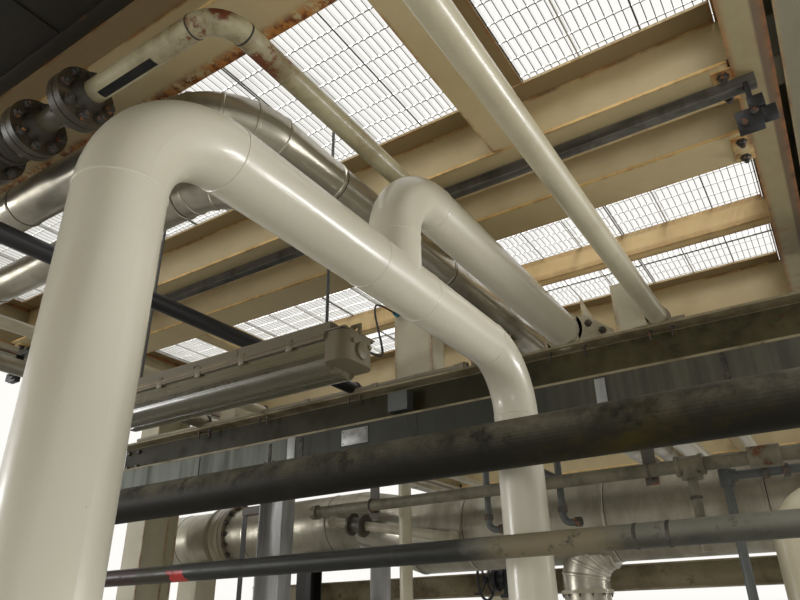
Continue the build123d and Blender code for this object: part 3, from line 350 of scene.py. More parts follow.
pipe_white = pipe_paint("pipe_white", (0.68, 0.645, 0.52), (0.50, 0.44, 0.31), 0.34, 0.0, 0.3)
dress(pipe_white, "spool_pipes", "spool_tee", "spool_elbows", "riser_flanges", "pipe_feet")
pipe_ivory = pipe_paint("pipe_ivory", (0.58, 0.53, 0.38), (0.42, 0.36, 0.22), 0.38, 0.18)
dress(pipe_ivory, "thin_pipes", "valve_pipes", "upright_pipes")
pipe_cream = pipe_paint("pipe_cream", (0.50, 0.46, 0.34), (0.33, 0.29, 0.18), 0.36, 0.45)
dress(pipe_cream, "large_flanges")
pipe_black = pipe_paint("pipe_black", (0.016, 0.016, 0.018), (0.030, 0.027, 0.024), 0.45, 0.0, 0.0)
dress(pipe_black, "black_pipe", "valve_body", "valve_handwheel", "gaskets")
small_flange_paint = pipe_paint("small_flange_paint", (0.034, 0.028, 0.019), (0.014, 0.012, 0.009),
                                0.4, 0.3, 0.0)
dress(small_flange_paint, "small_flanges", "small_valve")

# The small pipe is cream and grimy, brown and scorched round its elbow and sooty at its
# west end beside the flanges.
finish = Finish("small_pipe_paint", roughness=0.42, coat_weight=0.15)
small_x, small_along, _ = finish.axes()
dirt = finish.noise(5.0, 5.0, 0.65).between(0.40, 0.66)
base = finish.mix(dirt * 0.7, (0.50, 0.45, 0.29), (0.24, 0.19, 0.09))
bent = small_x.between(0.72, 0.86) * small_along.between(1.02, 0.82)
base = finish.mix(bent * dirt * 0.85, base, (0.16, 0.105, 0.025))
scorch = bent * finish.noise(9.0, 5.0, 0.7).between(0.52, 0.60)
base = finish.mix(scorch, base, (0.17, 0.045, 0.012))
sooty = small_x.between(0.50, 0.36) * small_along.between(1.02, 0.82)
base = finish.mix(sooty * 0.9, base, (0.060, 0.050, 0.034))
finish.complete(base,
                0.38 + dirt * 0.2 + scorch * 0.2, dirt * 0.4 + scorch * 0.4, 0.001)
dress(finish.material, "small_pipe", "pipe_elbows")

# The header is dirty cream galvanised tube. The coupling east of its tee is eaten by rust.
finish = Finish("header_paint", roughness=0.5, specular_ior_level=0.4)
header_x = finish.axes()[0]
dirt = finish.noise(8.0, 5.0, 0.65).between(0.38, 0.66)
base = finish.mix(dirt * 0.75, (0.19, 0.175, 0.12), (0.070, 0.060, 0.036))
rusty = header_x.between(1.72, 1.77) * header_x.between(1.90, 1.85)
rusty = rusty * finish.noise(16.0, 4.0, 0.7).between(0.50, 0.60)
base = finish.mix(rusty, base, (0.13, 0.045, 0.015))
finish.complete(base,
                0.42 + dirt * 0.2 + rusty * 0.2, dirt * 0.5 + rusty * 0.5, 0.001)
dress(finish.material, "header_pipe", "header_fittings")


# The two pipes across the bridge are old and dirty. The upper one is nearly black with a
# green bloom, and the lower one is grey with lengths of other colours along it.
finish = Finish("pipe_dark", roughness=0.65, specular_ior_level=0.12)
bloom = finish.noise(3.6, 6.0, 0.7, finish.stretch(0.5, 1.0, 1.0)).between(0.46, 0.68)
# The pipe's top is painted lighter: part dust and part a painted sheen of the sky.
dust_and_sheen = finish.facing("Z").between(-0.5, 0.6) * finish.noise(5.0, 5.0, 0.7).between(0.3, 0.7)
along = finish.axes()[0]
moss = finish.mix(along.between(0.6, 1.9), (0.030, 0.027, 0.019), (0.058, 0.046, 0.008))
base = finish.mix(bloom, (0.017, 0.015, 0.010), moss)
base = finish.mix(dust_and_sheen * 0.75, base, (0.17, 0.155, 0.11))
blotch = finish.noise(7.0, 5.0, 0.7).between(0.55, 0.65)
base = finish.mix(blotch * 0.7, base, (0.010, 0.009, 0.007))
base = finish.mix(along.between(2.10, 2.16) * 0.7, base, (0.13, 0.04, 0.035))
finish.complete(base,
                0.55 + bloom * 0.2 + dust_and_sheen * 0.2, bloom * 0.4 + dust_and_sheen * 0.4, 0.0015)
dress(finish.material, "dark_pipe")

finish = Finish("pipe_grey", roughness=0.45, specular_ior_level=0.3)
along = finish.axes()[0]
scuffed = finish.noise(6.0, 5.0, 0.65, finish.stretch(0.6, 1.0, 1.0)).between(0.42, 0.68)
ragged = along + (finish.noise(14.0, 4.0, 0.7) - 0.5) * 0.16
# The pipe's upper side is painted lighter: a painted highlight, with some dust.
lit_and_dusty_top = finish.facing("Z").between(-0.6, 0.2)
base = finish.mix(scuffed, (0.046, 0.045, 0.033), (0.088, 0.086, 0.066))
base = finish.mix(lit_and_dusty_top * 0.55, base, (0.22, 0.215, 0.17))
base = finish.mix(ragged.between(1.02, 0.92) * 0.85, base, (0.012, 0.013, 0.011))
base = finish.mix(ragged.between(-0.512, -0.516), base, (0.030, 0.025, 0.007))
base = finish.mix(ragged.between(-0.72, -0.74), base, (0.034, 0.011, 0.008))
red_mark = ragged.between(-0.510, -0.504) * ragged.between(-0.404, -0.410)
red_mark = red_mark * finish.facing("Z").between(0.35, 0.0)
base = finish.mix(red_mark, base, (0.55, 0.035, 0.03))
cream_part = ragged.between(0.98, 1.12) * ragged.between(1.52, 1.36)
base = finish.mix(cream_part * 0.85, base, (0.21, 0.175, 0.105))
soot = finish.noise(17.0, 6.0, 0.75).between(0.54, 0.66)
base = finish.mix(soot * 0.75, base, (0.030, 0.028, 0.022))
finish.complete(base,
                0.36 + scuffed * 0.2 + soot * 0.2, scuffed * 0.3 + soot * 0.5, 0.001)
dress(finish.material, "low_pipe")


# Galvanised steel has gone dull grey, with faint spangle and pale runs.
def galvanised_paint(name, light, dark):
    finish = Finish(name, roughness=0.5, metallic=0.15, specular_ior_level=0.3)
    spangle = finish.node("ShaderNodeSeparateXYZ", {}, {0: finish.cells(140.0)}).out("X")
    runs = finish.noise(3.0, 4.0, 0.6, finish.stretch(2.0, 2.0, 0.25)).between(0.4, 0.75)
    finish.complete(finish.mix(runs * 0.7 + spangle * 0.2, light, dark),
                    0.4 + runs * 0.2 + spangle * 0.1, spangle * 0.3 + runs * 0.5, 0.0008)
    return finish.material


galvanised = galvanised_paint("galvanised", (0.125, 0.13, 0.125), (0.050, 0.054, 0.054))
dress(galvanised, "luminaire_rods", "conduit", "conduit_fittings", "drop_tubes")


# The channel on the cross beam's side is dark with oil in the middle, grey-green toward
# the west and brown toward the east, with runs down its face.
finish = Finish("channel_steel", roughness=0.5, metallic=0.1, specular_ior_level=0.25)
channel_x = finish.axes()[0]
runs = finish.noise(5.0, 5.0, 0.6, finish.stretch(2.4, 2.4, 0.2)).between(0.38, 0.70)
oil = channel_x.between(-0.80, -0.62)
base = finish.mix(oil, (0.140, 0.155, 0.125), (0.040, 0.041, 0.032))
base = finish.mix(channel_x.between(0.70, 1.40), base, (0.110, 0.104, 0.080))
strut_part = finish.axes()[2].between(3.00, 3.05)
strut_runs = finish.noise(9.0, 4.0, 0.6, finish.stretch(0.2, 2.0, 2.0)).between(0.35, 0.65)
strut_base = finish.mix(strut_runs, (0.155, 0.145, 0.130), (0.065, 0.060, 0.052))
base = finish.mix(strut_part, base, strut_base)
base = finish.mix(strut_part * finish.edges(0.006), base, (0.34, 0.33, 0.30))
finish.complete(finish.mix(runs * 0.6, base, (0.028, 0.027, 0.020)),
                0.42 + runs * 0.2, runs * 0.5, 0.0008)
dress(finish.material, "galvanised_channels")


# Cladding is thin aluminium sheet rolled round the insulation.
def cladding_sheet(name):
    finish = Finish(name, roughness=0.35, metallic=0.75)
    stain = finish.noise(2.6, 4.0, 0.6).between(0.4, 0.75)
    finish.complete(finish.mix(stain, (0.48, 0.45, 0.37), (0.20, 0.175, 0.12)),
                    0.28 + stain * 0.25, finish.noise(7.0, 2.0) * 0.6 + stain * 0.2, 0.004)
    return finish.material


cladding = cladding_sheet("cladding")
dress(cladding, "clad_pipes", "clad_elbows", "silver_pipe")

# The large pipe's jacket is older and browner, scrubbed in streaks that run round it.
old_jacket = Finish("old_jacket", roughness=0.38, metallic=0.55)
scrubbed = old_jacket.noise(3.0, 5.0, 0.65, old_jacket.stretch(1.7, 0.8, 0.8)).between(0.36, 0.72)
old_jacket.complete(old_jacket.mix(scrubbed, (0.42, 0.395, 0.31), (0.24, 0.215, 0.155)),
                    0.30 + scrubbed * 0.22, old_jacket.noise(6.0, 2.0) * 0.5 + scrubbed * 0.3, 0.004)
dress(old_jacket.material, "large_pipe")

# The drain is cream paint too, but its valve is dark with grease.
finish = Finish("drain_paint", roughness=0.42)
drain_x = finish.axes()[0]
greasy = drain_x.between(-0.655, -0.645) * drain_x.between(-0.505, -0.515)
dirt = finish.noise(12.0, 4.0, 0.6).between(0.4, 0.7)
base = finish.mix(dirt * 0.5, (0.50, 0.46, 0.34), (0.20, 0.17, 0.10))
finish.send("Base Color", finish.mix(greasy * 0.9, base, (0.045, 0.038, 0.028)))
finish.send("Roughness", 0.38 + dirt * 0.2)
dress(finish.material, "drain_pipe", "drain_fittings")

# The luminaire is beige plastic and painted steel, gone dark with dirt in long bands.
# The lens is clearer and glossier, with brighter and darker bands along it.
lamp_beige = frame_paint("lamp_beige", (0.155, 0.130, 0.080), (0.070, 0.057, 0.034), 0.01, 0.1)
dress(lamp_beige, "luminaire_body", "luminaire_caps")
finish = Finish("lens_plastic", roughness=0.25, coat_weight=0.2)
lens_z = finish.axes()[2]
bands = finish.noise(9.0, 3.0, 0.6, finish.stretch(0.004, 2.0, 2.0)).between(0.36, 0.62)
bands = bands.largest(lens_z.between(2.392, 2.388) * lens_z.between(2.366, 2.370))
dirt = finish.noise(12.0, 4.0, 0.6, finish.stretch(0.25, 1.0, 1.0)).between(0.35, 0.80)
base = finish.mix(bands, (0.185, 0.170, 0.100), (0.055, 0.049, 0.026))
finish.complete(finish.mix(dirt * 0.5, base, (0.11, 0.085, 0.045)),
                0.22 + dirt * 0.2, bands, 0.0006)
dress(finish.material, "luminaire_lens")


# Every added piece is a bmesh shape at the origin that one of these helpers builds.
# The first makes it an object that rides on a body.
def finished(name, form, *materials, body="bridge"):
    """Makes a piece of a bmesh, smooth but for its sharp edges, which rides on a body."""
    bmesh.ops.remove_doubles(form, verts=form.verts, dist=1e-6)
    bmesh.ops.recalc_face_normals(form, faces=form.faces)
    mesh = bpy.data.meshes.new(name)
    form.to_mesh(mesh)
    form.free()
    mesh.shade_smooth()
    mesh.set_sharp_from_angle(angle=math.radians(35))
    piece = bpy.data.objects.new(name, mesh)
    bpy.context.scene.collection.objects.link(piece)
    for material in materials:
        mesh.materials.append(material)
    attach(piece, body)
    return piece


def slab(form, low, high, bevel=0.0):
    """A box between two corners, its edges rounded where a bevel is given."""
    low, high = Vector(low), Vector(high)
    size = Matrix.Diagonal((*(high - low), 1))
    cube = bmesh.ops.create_cube(form, size=1, matrix=Matrix.Translation((low + high) / 2) @ size)
    if bevel:
        edges = list({edge for vert in cube["verts"] for edge in vert.link_edges})
        bmesh.ops.bevel(form, geom=edges, offset=bevel, segments=2, profile=0.5, affect="EDGES",
                        material=-1)


# Grating panels have bearing bars along the bridge and thinner rods across them.
# The flat galvanised bars stand on edge between the bands that the panels already have.
deck = 3.5
grating_half, panel_gap, panel_band = 2.33, 0.006, 0.006
bar_pitch, bar_thickness, bar_low, bar_high = 0.030, 0.003, deck + 0.009, deck + 0.029
rod_pitch, rod_width, rod_low = 0.100, 0.005, deck + 0.023
panel_pitch = (2 * grating_half + panel_gap) / 5
bar_spacing = (panel_pitch - panel_gap) / int((panel_pitch - panel_gap) / bar_pitch)
finish = Finish("grating_galvanised", roughness=0.28, metallic=1.0)
# The grating's downward faces are painted dark as shade, darkest next to the bars, and lose their metal
# there.
shaded_underside = finish.facing("Z").between(-0.4, -0.8)
from_bar = (((finish.axes()[0] + grating_half).wrap(panel_pitch)).wrap(bar_spacing)
            - bar_spacing / 2).away()
next_to_bar = from_bar.between(bar_spacing / 2 - 0.007, bar_spacing / 2 - 0.003)
grubby = finish.noise(4.0, 4.0).between(0.4, 0.7)
bare_zinc = finish.mix(grubby * 0.5, (0.88, 0.88, 0.86), (0.62, 0.61, 0.58))
finish.send("Base Color", finish.mix(shaded_underside * (0.35 + next_to_bar * 0.65), bare_zinc, (0.035, 0.033, 0.03)))
finish.send("Metallic", 1.0 - shaded_underside * 0.9)
grating_galvanised = finish.material
dress(grating_galvanised, "grating_panels")
form = bmesh.new()
for strip_start, strip_end in ((-9.45, -1.5), (0.69, 9.45)):
    row_length = (strip_end - strip_start + panel_gap) / 3
    for row in range(3):
        y0 = strip_start + row * row_length
        y1 = y0 + row_length - panel_gap
        for column in range(5):
            x0 = -grating_half + column * panel_pitch
            x1 = x0 + panel_pitch - panel_gap
            bar_count = int((x1 - x0) / bar_pitch)
            for i in range(1, bar_count):
                x = x0 + (x1 - x0) * i / bar_count
                slab(form, (x - bar_thickness / 2, y0 + panel_band, bar_low),
                     (x + bar_thickness / 2, y1 - panel_band, bar_high))
            rod_count = int((y1 - y0) / rod_pitch)
            for i in range(1, rod_count):
                y = y0 + (y1 - y0) * i / rod_count
                slab(form, (x0 + panel_band, y - rod_width / 2, rod_low),
                     (x1 - panel_band, y + rod_width / 2, bar_high - 0.001))
finished("grating_bars", form, grating_galvanised)


# Round and six-sided pieces are profiles turned about an axis: rings and collars on
# pipes, weld beads, nuts, screws and bolt heads.
def turned(form, profile, place, way, steps=40, start=0.0):
    """Spins a profile of (radius, distance along the way) about the way through the place."""
    place, way = Vector(place), Vector(way).normalized()
    turn = Matrix.Translation(place) @ way.to_track_quat("Z", "Y").to_matrix().to_4x4()
    turn = turn @ Matrix.Rotation(start, 4, "Z")
    lathe = bmesh.new()
    points = [lathe.verts.new(turn @ Vector((radius, 0, reach))) for radius, reach in profile]
    edges = [lathe.edges.new(pair) for pair in zip(points, points[1:])]
    bmesh.ops.spin(lathe, geom=points + edges, cent=place, axis=way, angle=2 * math.pi, steps=steps,
                   use_merge=True)
    shape = bpy.data.meshes.new("turned")
    lathe.to_mesh(shape)
    lathe.free()
    form.from_mesh(shape)
    bpy.data.meshes.remove(shape)


def collar(form, inner, outer, length, place, way, steps=40, near=0.0, far=0.0):
    """A ring on a pipe; near and far are how long its two ends slope."""
    turned(form, [(inner, 0.0), (outer, near), (outer, length - far), (inner, length)], place, way, steps)


def screw(form, radius, body, rim, top, place, way, steps=6):
    """A screw's head or a stud's end: a straight body, then a chamfer up to its top."""
    turned(form, [(radius, 0.0), (radius, body), (rim, top), (0, top)], place, way, steps)


def bolt_head(form, washer, corner, rim, place, way):
    """A six-sided head with a chamfer, on a thin washer."""
    turned(form, [(0.0, 0.0), (washer, 0.0), (washer, 0.003), (corner, 0.003), (corner, 0.014),
                  (rim, 0.017), (0.0, 0.017)], place, way, 6)


def bead(form, radius, place, way, width=0.010, height=0.0018):
    """A weld's low round ring on a pipe."""
    profile = [(radius - 0.001, -width / 2), (radius + height * 0.7, -width / 3),
               (radius + height, 0), (radius + height * 0.7, width / 3), (radius - 0.001, width / 2)]
    turned(form, profile, place, way, 56)


# The spool's butt welds stand a little proud of the pipe, under the same paint.
# Each is a low ring where an elbow, a tee or a flange meets the straight pipe.
spool_x, spool_radius = 1.073, 0.08415
riser_a, riser_b, riser_end = 0.417, 2.204, 0.36
tee_y, tee_half, tee_top = 1.35, 0.143, 2.6555
run_z, branch_z, branch_end = 2.5125, 2.90445, 5.2
bend, branch_bend = 0.229, branch_z - tee_top
form = bmesh.new()
for place, way in (((spool_x, riser_a, run_z - bend), (0, 0, 1)),
                   ((spool_x, riser_a + bend, run_z), (0, 1, 0)),
                   ((spool_x, tee_y - tee_half, run_z), (0, 1, 0)),
                   ((spool_x, tee_y + tee_half, run_z), (0, 1, 0)),
                   ((spool_x, riser_b - bend, run_z), (0, 1, 0)),
                   ((spool_x, riser_b, run_z - bend), (0, 0, 1)),
                   ((spool_x, tee_y, tee_top), (0, 0, 1)),
                   ((spool_x, tee_y + branch_bend, branch_z), (0, 1, 0)),
                   ((spool_x, riser_a, riser_end), (0, 0, 1)),
                   ((spool_x, riser_b, riser_end), (0, 0, 1)),
                   ((spool_x, branch_end, branch_z), (0, 1, 0))):
    bead(form, spool_radius, place, way)
finished("spool_welds", form, pipe_white)


def nuts(form, place, way, circle, count, across, start=0.0):
    """Nuts with their studs' ends all round a flange's face."""
    place, way = Vector(place), Vector(way).normalized()
    aim = way.to_track_quat("Z", "Y").to_matrix()
    for i in range(count):
        angle = start + 2 * math.pi * i / count
        spot = place + aim @ Vector((circle * math.cos(angle), circle * math.sin(angle), 0))
        corner, thick = across / 1.732, across * 0.52
        turned(form, [(0, 0.001), (corner * 1.15, 0.001), (corner * 1.15, 0.003), (corner, 0.003),
                      (corner, 0.003 + thick * 0.8), (corner * 0.86, 0.003 + thick), (0, 0.003 + thick)],
               spot, way, 6, angle)
        screw(form, across * 0.3, thick + 0.009, across * 0.24, thick + 0.012, spot, way, 10)


def steel(name, colour, rough, rust_share):
    """Bare or thinly painted steel with rust in patches."""
    finish = Finish(name, roughness=rough, metallic=0.3)
    broken = finish.noise(46.0, 4.0, 0.65).between(0.62 - rust_share, 0.72 - rust_share)
    cloud = finish.noise(9.0, 3.0).between(0.35, 0.7)
    base = finish.mix(cloud * 0.6, colour, tuple(channel * 0.5 for channel in colour))
    finish.send("Base Color", finish.mix(broken, base, finish.mix(cloud, rust, rust_dark)))
    finish.send("Roughness", rough + broken * 0.3)
    finish.send("Metallic", 0.35 - broken * 0.3)
    finish.bump(broken * 0.5 + cloud * 0.3, 0.001)
    return finish.material


# Nuts and stud ends of the flanged joints are dark steel, with rust in their corners.
# Each nut is a six-sided turning with a chamfered top, on a washer.
nut_steel = steel("nut_steel", (0.085, 0.078, 0.068), 0.45, 0.08)
form = bmesh.new()
small_y, small_z, valve_x, flange_half = 0.65, 3.055, -0.013, 0.028
small_joints = (0.364, 0.110, -0.136)
for x in small_joints:
    for side in (-1, 1):
        nuts(form, (x + side * flange_half, small_y, small_z), (side, 0, 0), 0.076, 8, 0.028)
for y in (riser_a, riser_b):
    nuts(form, (spool_x, y, 0.330), (0, 0, 1), 0.120, 8, 0.032)
    nuts(form, (spool_x, y, 0.286), (0, 0, -1), 0.120, 8, 0.032)
finished("joint_nuts", form, nut_steel)

# The small flanges have weld necks that taper to the pipe, and the valve between two of
# them a bolted bonnet. All are the pipe's cream paint gone brown with grime.
grimy_cream = frame_paint("grimy_cream", (0.30, 0.26, 0.18), (0.10, 0.085, 0.06), 0.01, 0.16)
greasy_paint = frame_paint("greasy_paint", (0.040, 0.033, 0.023), (0.016, 0.014, 0.010), 0.01, 0.05)
form = bmesh.new()
for x in small_joints:
    for side in (-1, 1):
        turned(form, [(0.030, 0.0), (0.058, 0.0), (0.055, 0.008), (0.046, 0.024), (0.0385, 0.040),
                      (0.030, 0.042)], (x + side * flange_half, small_y, small_z), (side, 0, 0))
bead(form, 0.0365, (0.425, small_y, small_z), (1, 0, 0), 0.007, 0.0015)
bead(form, 0.0365, (0.972 - 0.095, small_y, small_z), (1, 0, 0), 0.008, 0.0015)
bead(form, 0.0365, (0.972, small_y + 0.095, small_z), (0, 1, 0), 0.008, 0.0015)
turned(form, [(0.026, 0.0), (0.026, 0.050), (0.045, 0.050), (0.045, 0.070), (0.020, 0.078), (0, 0.078)],
       (valve_x, small_y, small_z + 0.02), (0, 0, 1))
for side in (-1, 1):
    turned(form, [(0.030, 0.0), (0.068, 0.0), (0.072, 0.006), (0.064, 0.030), (0.048, 0.040)],
           (valve_x + side * 0.0108, small_y, small_z), (side, 0, 0), 24)
finished("small_hubs", form, greasy_paint)

# The label on the small pipe is a bare black strip, wrapped along its south side.
# It is thin film, so it follows the pipe's curve and stands half a millimetre proud.
film = Finish("label_film", roughness=0.5, specular_ior_level=0.2)
scuffs = film.noise(30.0, 4.0, 0.6, film.stretch(0.3, 1, 1)).between(0.5, 0.8)
film.send("Base Color", film.mix(scuffs * 0.5, (0.012, 0.012, 0.012), (0.06, 0.055, 0.05)))
film.send("Roughness", 0.5 + scuffs * 0.3)
form = bmesh.new()
strip_radius, strip_steps = 0.0372, 8
strip_points = []
for x in (0.473, 0.715):
    row = []
    for i in range(strip_steps + 1):
        angle = math.radians(-112 + i * 6.0)
        row.append(form.verts.new((x, small_y + strip_radius * math.cos(angle),
                                   small_z + strip_radius * math.sin(angle))))
    strip_points.append(row)
west_row, east_row = strip_points
for i in range(strip_steps):
    form.faces.new((west_row[i], east_row[i], east_row[i + 1], west_row[i + 1]))
finished("label_strip", form, film.material)

# Aluminium jackets on the clad pipes come in lengths. Each joint is a raised swage with a
# dark bead of sealant beside it, and the elbows are cut from gores with the same joints.
sealant = Finish("sealant", roughness=0.8)
sealant.send("Base Color", sealant.mix(sealant.noise(20.0).between(0.4, 0.6), (0.03, 0.026, 0.022),
                                       (0.09, 0.075, 0.055)))
swages, seals = bmesh.new(), bmesh.new()


def jacket_joint(radius, place, way, gap=0.012):
    """A swage and its sealant round a jacket."""
    place, way = Vector(place), Vector(way).normalized()
    bead(swages, radius, place, way, 0.016, 0.0035)
    bead(seals, radius, place + way * gap, way, 0.006, 0.0012)


jackets = ((0.081, 0.745, 0.880, 3.050, 0.240), (0.073, 0.560, 1.140, 2.990, 0.220))
for radius, x, y, z, turn_radius in jackets:
    for run in (-1.75, -0.95, -0.33, 0.28):
        jacket_joint(radius, (run, y, z), (1, 0, 0))
    for run in (1.42, 2.26, 3.5, 4.4, 5.3, 6.2, 7.1, 8.0, 8.9, 9.7):
        jacket_joint(radius, (x, run, z), (0, 1, 0))
    for degrees in (0, 22.5, 45, 67.5, 90):
        t = math.radians(degrees)
        spot = (x - turn_radius * (1 - math.sin(t)), y + turn_radius * (1 - math.cos(t)), z)
        jacket_joint(radius, spot, (math.cos(t), math.sin(t), 0), 0.0)
large_y, west_z, east_z, west_radius, east_radius = 3.74, 2.212, 2.094, 0.200, 0.234
for x in (-2.45, -1.72, -0.946):
    jacket_joint(west_radius, (x, large_y, west_z), (1, 0, 0))
for x in (-0.27, 0.116, 0.967, 1.75, 2.5):
    jacket_joint(east_radius, (x, large_y, east_z), (1, 0, 0))
for degrees in (8, 26, 44, 62, 80):
    t = math.radians(degrees)
    spot = (0.947 - 0.19 * math.sin(t), large_y, 1.765 + 0.19 * math.cos(t))
    bead(swages, 0.125, spot, (-math.cos(t), 0, -math.sin(t)), 0.020, 0.0045)
for z in (0.5, 1.1):
    jacket_joint(0.125, (0.757, large_y, z), (0, 0, 1))
for y in (-8.7, -6.9, -5.1, -3.3, -1.5, 0.3, 2.1, 3.9, 5.7, 7.5, 9.3):
    jacket_joint(0.04445, (-1.545, y, 2.82 + 0.04475), (0, 1, 0))
finished("jacket_swages", swages, cladding)
finished("jacket_seals", seals, sealant.material)

# The large flange pair is thick painted rings with studs through both, a stud's end and
# a nut showing on each side, and a bright band over the gasket.
form = bmesh.new()
nuts(form, (-1.896, large_y, west_z), (1, 0, 0), 0.212, 16, 0.030)
nuts(form, (-2.038, large_y, west_z), (-1, 0, 0), 0.209, 16, 0.030)
nuts(form, (0.757, large_y, 1.706), (0, 0, -1), 0.1325, 12, 0.010)
finished("large_flange_nuts", form, nut_steel)
form = bmesh.new()
turned(form, [(0.2281, -0.010), (0.2305, -0.009), (0.2305, 0.009), (0.2281, 0.010)],
       (-1.99, large_y, west_z), (1, 0, 0), 64)
finished("large_flange_band", form, cladding)
form = bmesh.new()
for x, way in ((-1.936, 1), (-2.044, -1)):
    turned(form, [(0.2005, 0.0), (0.2275, 0.0), (0.2285, 0.002), (0.2285, 0.038), (0.2265, 0.040),
                  (0.2005, 0.040)], (x, large_y, west_z), (way, 0, 0), 64)
finished("large_flange_rings", form, grimy_cream)


def swept(form, points, radius, sides=10):
    """A round bar along a line of points."""
    points = [Vector(point) for point in points]
    rings, across = [], None
    for i, point in enumerate(points):
        way = (points[min(i + 1, len(points) - 1)] - points[max(i - 1, 0)]).normalized()
        if across is None:
            across = way.orthogonal().normalized()
        across = (across - way * across.dot(way)).normalized()
        other = way.cross(across)
        rings.append([form.verts.new(point + (across * math.cos(2 * math.pi * k / sides)
                                              + other * math.sin(2 * math.pi * k / sides)) * radius)
                      for k in range(sides)])
    for low, high in zip(rings, rings[1:]):
        for k in range(sides):
            form.faces.new((low[k], low[(k + 1) % sides], high[(k + 1) % sides], high[k]))
    form.faces.new(rings[0])
    form.faces.new(rings[-1])


# U-bolts hold the pipes that run along the bridge on the portal cross beams. They are
# threaded round bar bent over the pipe, with nuts above and under the beam's top flange.
portals = (-9.0, -3.0, 3.0, 9.0)
bay_length, south_portals = 6.0, portals[:3]
beam_top, beam_flange = 2.82, 0.012
held_pipes = ((1.535, 0.04445, portals), (-0.995, 0.030, portals), (-0.255, 0.0365, portals),
              (-1.545, 0.04445, portals), (1.073, 0.08415, portals[2:]))
form = bmesh.new()
for x, radius, beams in held_pipes:
    wire = 0.006 if radius > 0.04 else 0.005
    loop, centre_z = radius + wire + 0.0005, beam_top + radius + 0.0003
    for y in beams:
        y -= 0.055
        line = [(x - loop, y, beam_top - 0.062), (x - loop, y, centre_z)]
        line += [(x - loop * math.cos(math.pi * i / 16), y, centre_z + loop * math.sin(math.pi * i / 16))
                 for i in range(1, 16)]
        line += [(x + loop, y, centre_z), (x + loop, y, beam_top - 0.062)]
        swept(form, line, wire)
        for side in (-1, 1):
            for face, up in ((beam_top - beam_flange, -1), (beam_top, 1)):
                turned(form, [(wire, 0.0), (wire * 2.1, 0.0), (wire * 2.1, 0.009), (wire * 1.8, 0.011),
                              (wire, 0.011)], (x + side * loop, y, face), (0, 0, up), 6)
finished("u_bolts", form, nut_steel)

# A two-bolt clamp grips the branch just before the middle portal. It is a cream steel ring
# with one ear that reaches down to the beam, and dark bolts through the ear.
form = bmesh.new()
clamp_south, clamp_north = 2.925, 2.943
collar(form, 0.0845, 0.101, 0.018, (spool_x, clamp_south, branch_z), (0, 1, 0), 56)
ear = ((1.150, 2.8215), (1.330, 2.8215), (1.325, 2.850), (1.262, 2.905), (1.195, 2.962), (1.150, 2.965))
faces = [form.faces.new([form.verts.new((x, y, z)) for x, z in ear]) for y in (clamp_south, clamp_north)]
bmesh.ops.bridge_loops(form, edges=[edge for face in faces for edge in face.edges])
finished("branch_clamp", form, pipe_cream)
form = bmesh.new()
for x, z in ((1.207, 2.912), (1.272, 2.858)):
    bolt_head(form, 0.020, 0.017, 0.0145, (x, clamp_south, z), (0, -1, 0))
    screw(form, 0.009, 0.026, 0.0075, 0.028, (x, clamp_south, z), (0, -1, 0), 12)
finished("branch_clamp_bolts", form, nut_steel)
form = bmesh.new()
collar(form, 0.0448, 0.054, 0.014, (1.535, 2.925, 2.86475), (0, 1, 0))
slab(form, (1.578, 2.925, 2.8215), (1.655, 2.939, 2.845), 0.003)
slab(form, (1.415, 2.925, 2.8215), (1.492, 2.939, 2.836), 0.003)
finished("thin_pipe_clamp", form, grimy_cream)

# A conduit lies along the front of the cross beam's top flange. It is threaded pipe with
# couplings, thick with old paint, and ends in a plugged union beside the spool.
form = bmesh.new()
conduit_y, conduit_z, conduit_radius, strap_loop = 2.914, 2.8345, 0.0135, 0.015
swept(form, [(-2.22, conduit_y, conduit_z), (0.50, conduit_y, conduit_z)], conduit_radius, 16)
for x in (-1.55, -0.62, -0.107, 0.445):
    collar(form, conduit_radius, 0.019, 0.042, (x, conduit_y, conduit_z), (1, 0, 0), 20, 0.002, 0.002)
turned(form, [(conduit_radius, 0.0), (0.024, 0.0), (0.024, 0.022), (0.017, 0.026), (0.017, 0.040),
              (0, 0.042)], (0.487, conduit_y, conduit_z), (1, 0, 0), 8)
for x in (-1.9, -1.2, -0.4, 0.2):
    swept(form, [(x, conduit_y + strap_loop * math.cos(math.pi * i / 8),
                  conduit_z + strap_loop * math.sin(math.pi * i / 8)) for i in range(9)], 0.003, 8)
    slab(form, (x - 0.010, 2.922, 2.820), (x + 0.010, 2.952, 2.824), 0.001)
finished("beam_conduit", form, grimy_cream)

# The luminaire's lid is held down by small clips, its tray is in two lengths, and a rubber
# gasket shows between the lid and the lens. A lug and a screwed rim close its east end.
gasket_black = Finish("gasket_black", roughness=0.7)
gasket_black.send("Base Color", gasket_black.mix(gasket_black.noise(25.0).between(0.4, 0.6),
                                                 (0.02, 0.018, 0.016), (0.07, 0.06, 0.045)))
lamp_y, lamp_west, lamp_east = 1.55, -0.43, 0.715
form = bmesh.new()
slab(form, (lamp_west + 0.002, lamp_y - 0.086, 2.4345), (lamp_east - 0.002, lamp_y + 0.086, 2.4405))
slab(form, (0.2700, lamp_y - 0.0626, 2.4645), (0.2725, lamp_y + 0.0626, 2.5165))
slab(form, (0.030, lamp_y - 0.0626, 2.486), (0.062, lamp_y - 0.0600, 2.496))
slab(form, (0.030, lamp_y + 0.0600, 2.486), (0.062, lamp_y + 0.0626, 2.496))
slab(form, (0.7165, lamp_y - 0.091, 2.4640), (0.7900, lamp_y + 0.091, 2.4672), 0.001)
slab(form, (-0.5050, lamp_y - 0.091, 2.4640), (-0.4315, lamp_y + 0.091, 2.4672), 0.001)
finished("luminaire_gasket", form, gasket_black.material)
form = bmesh.new()
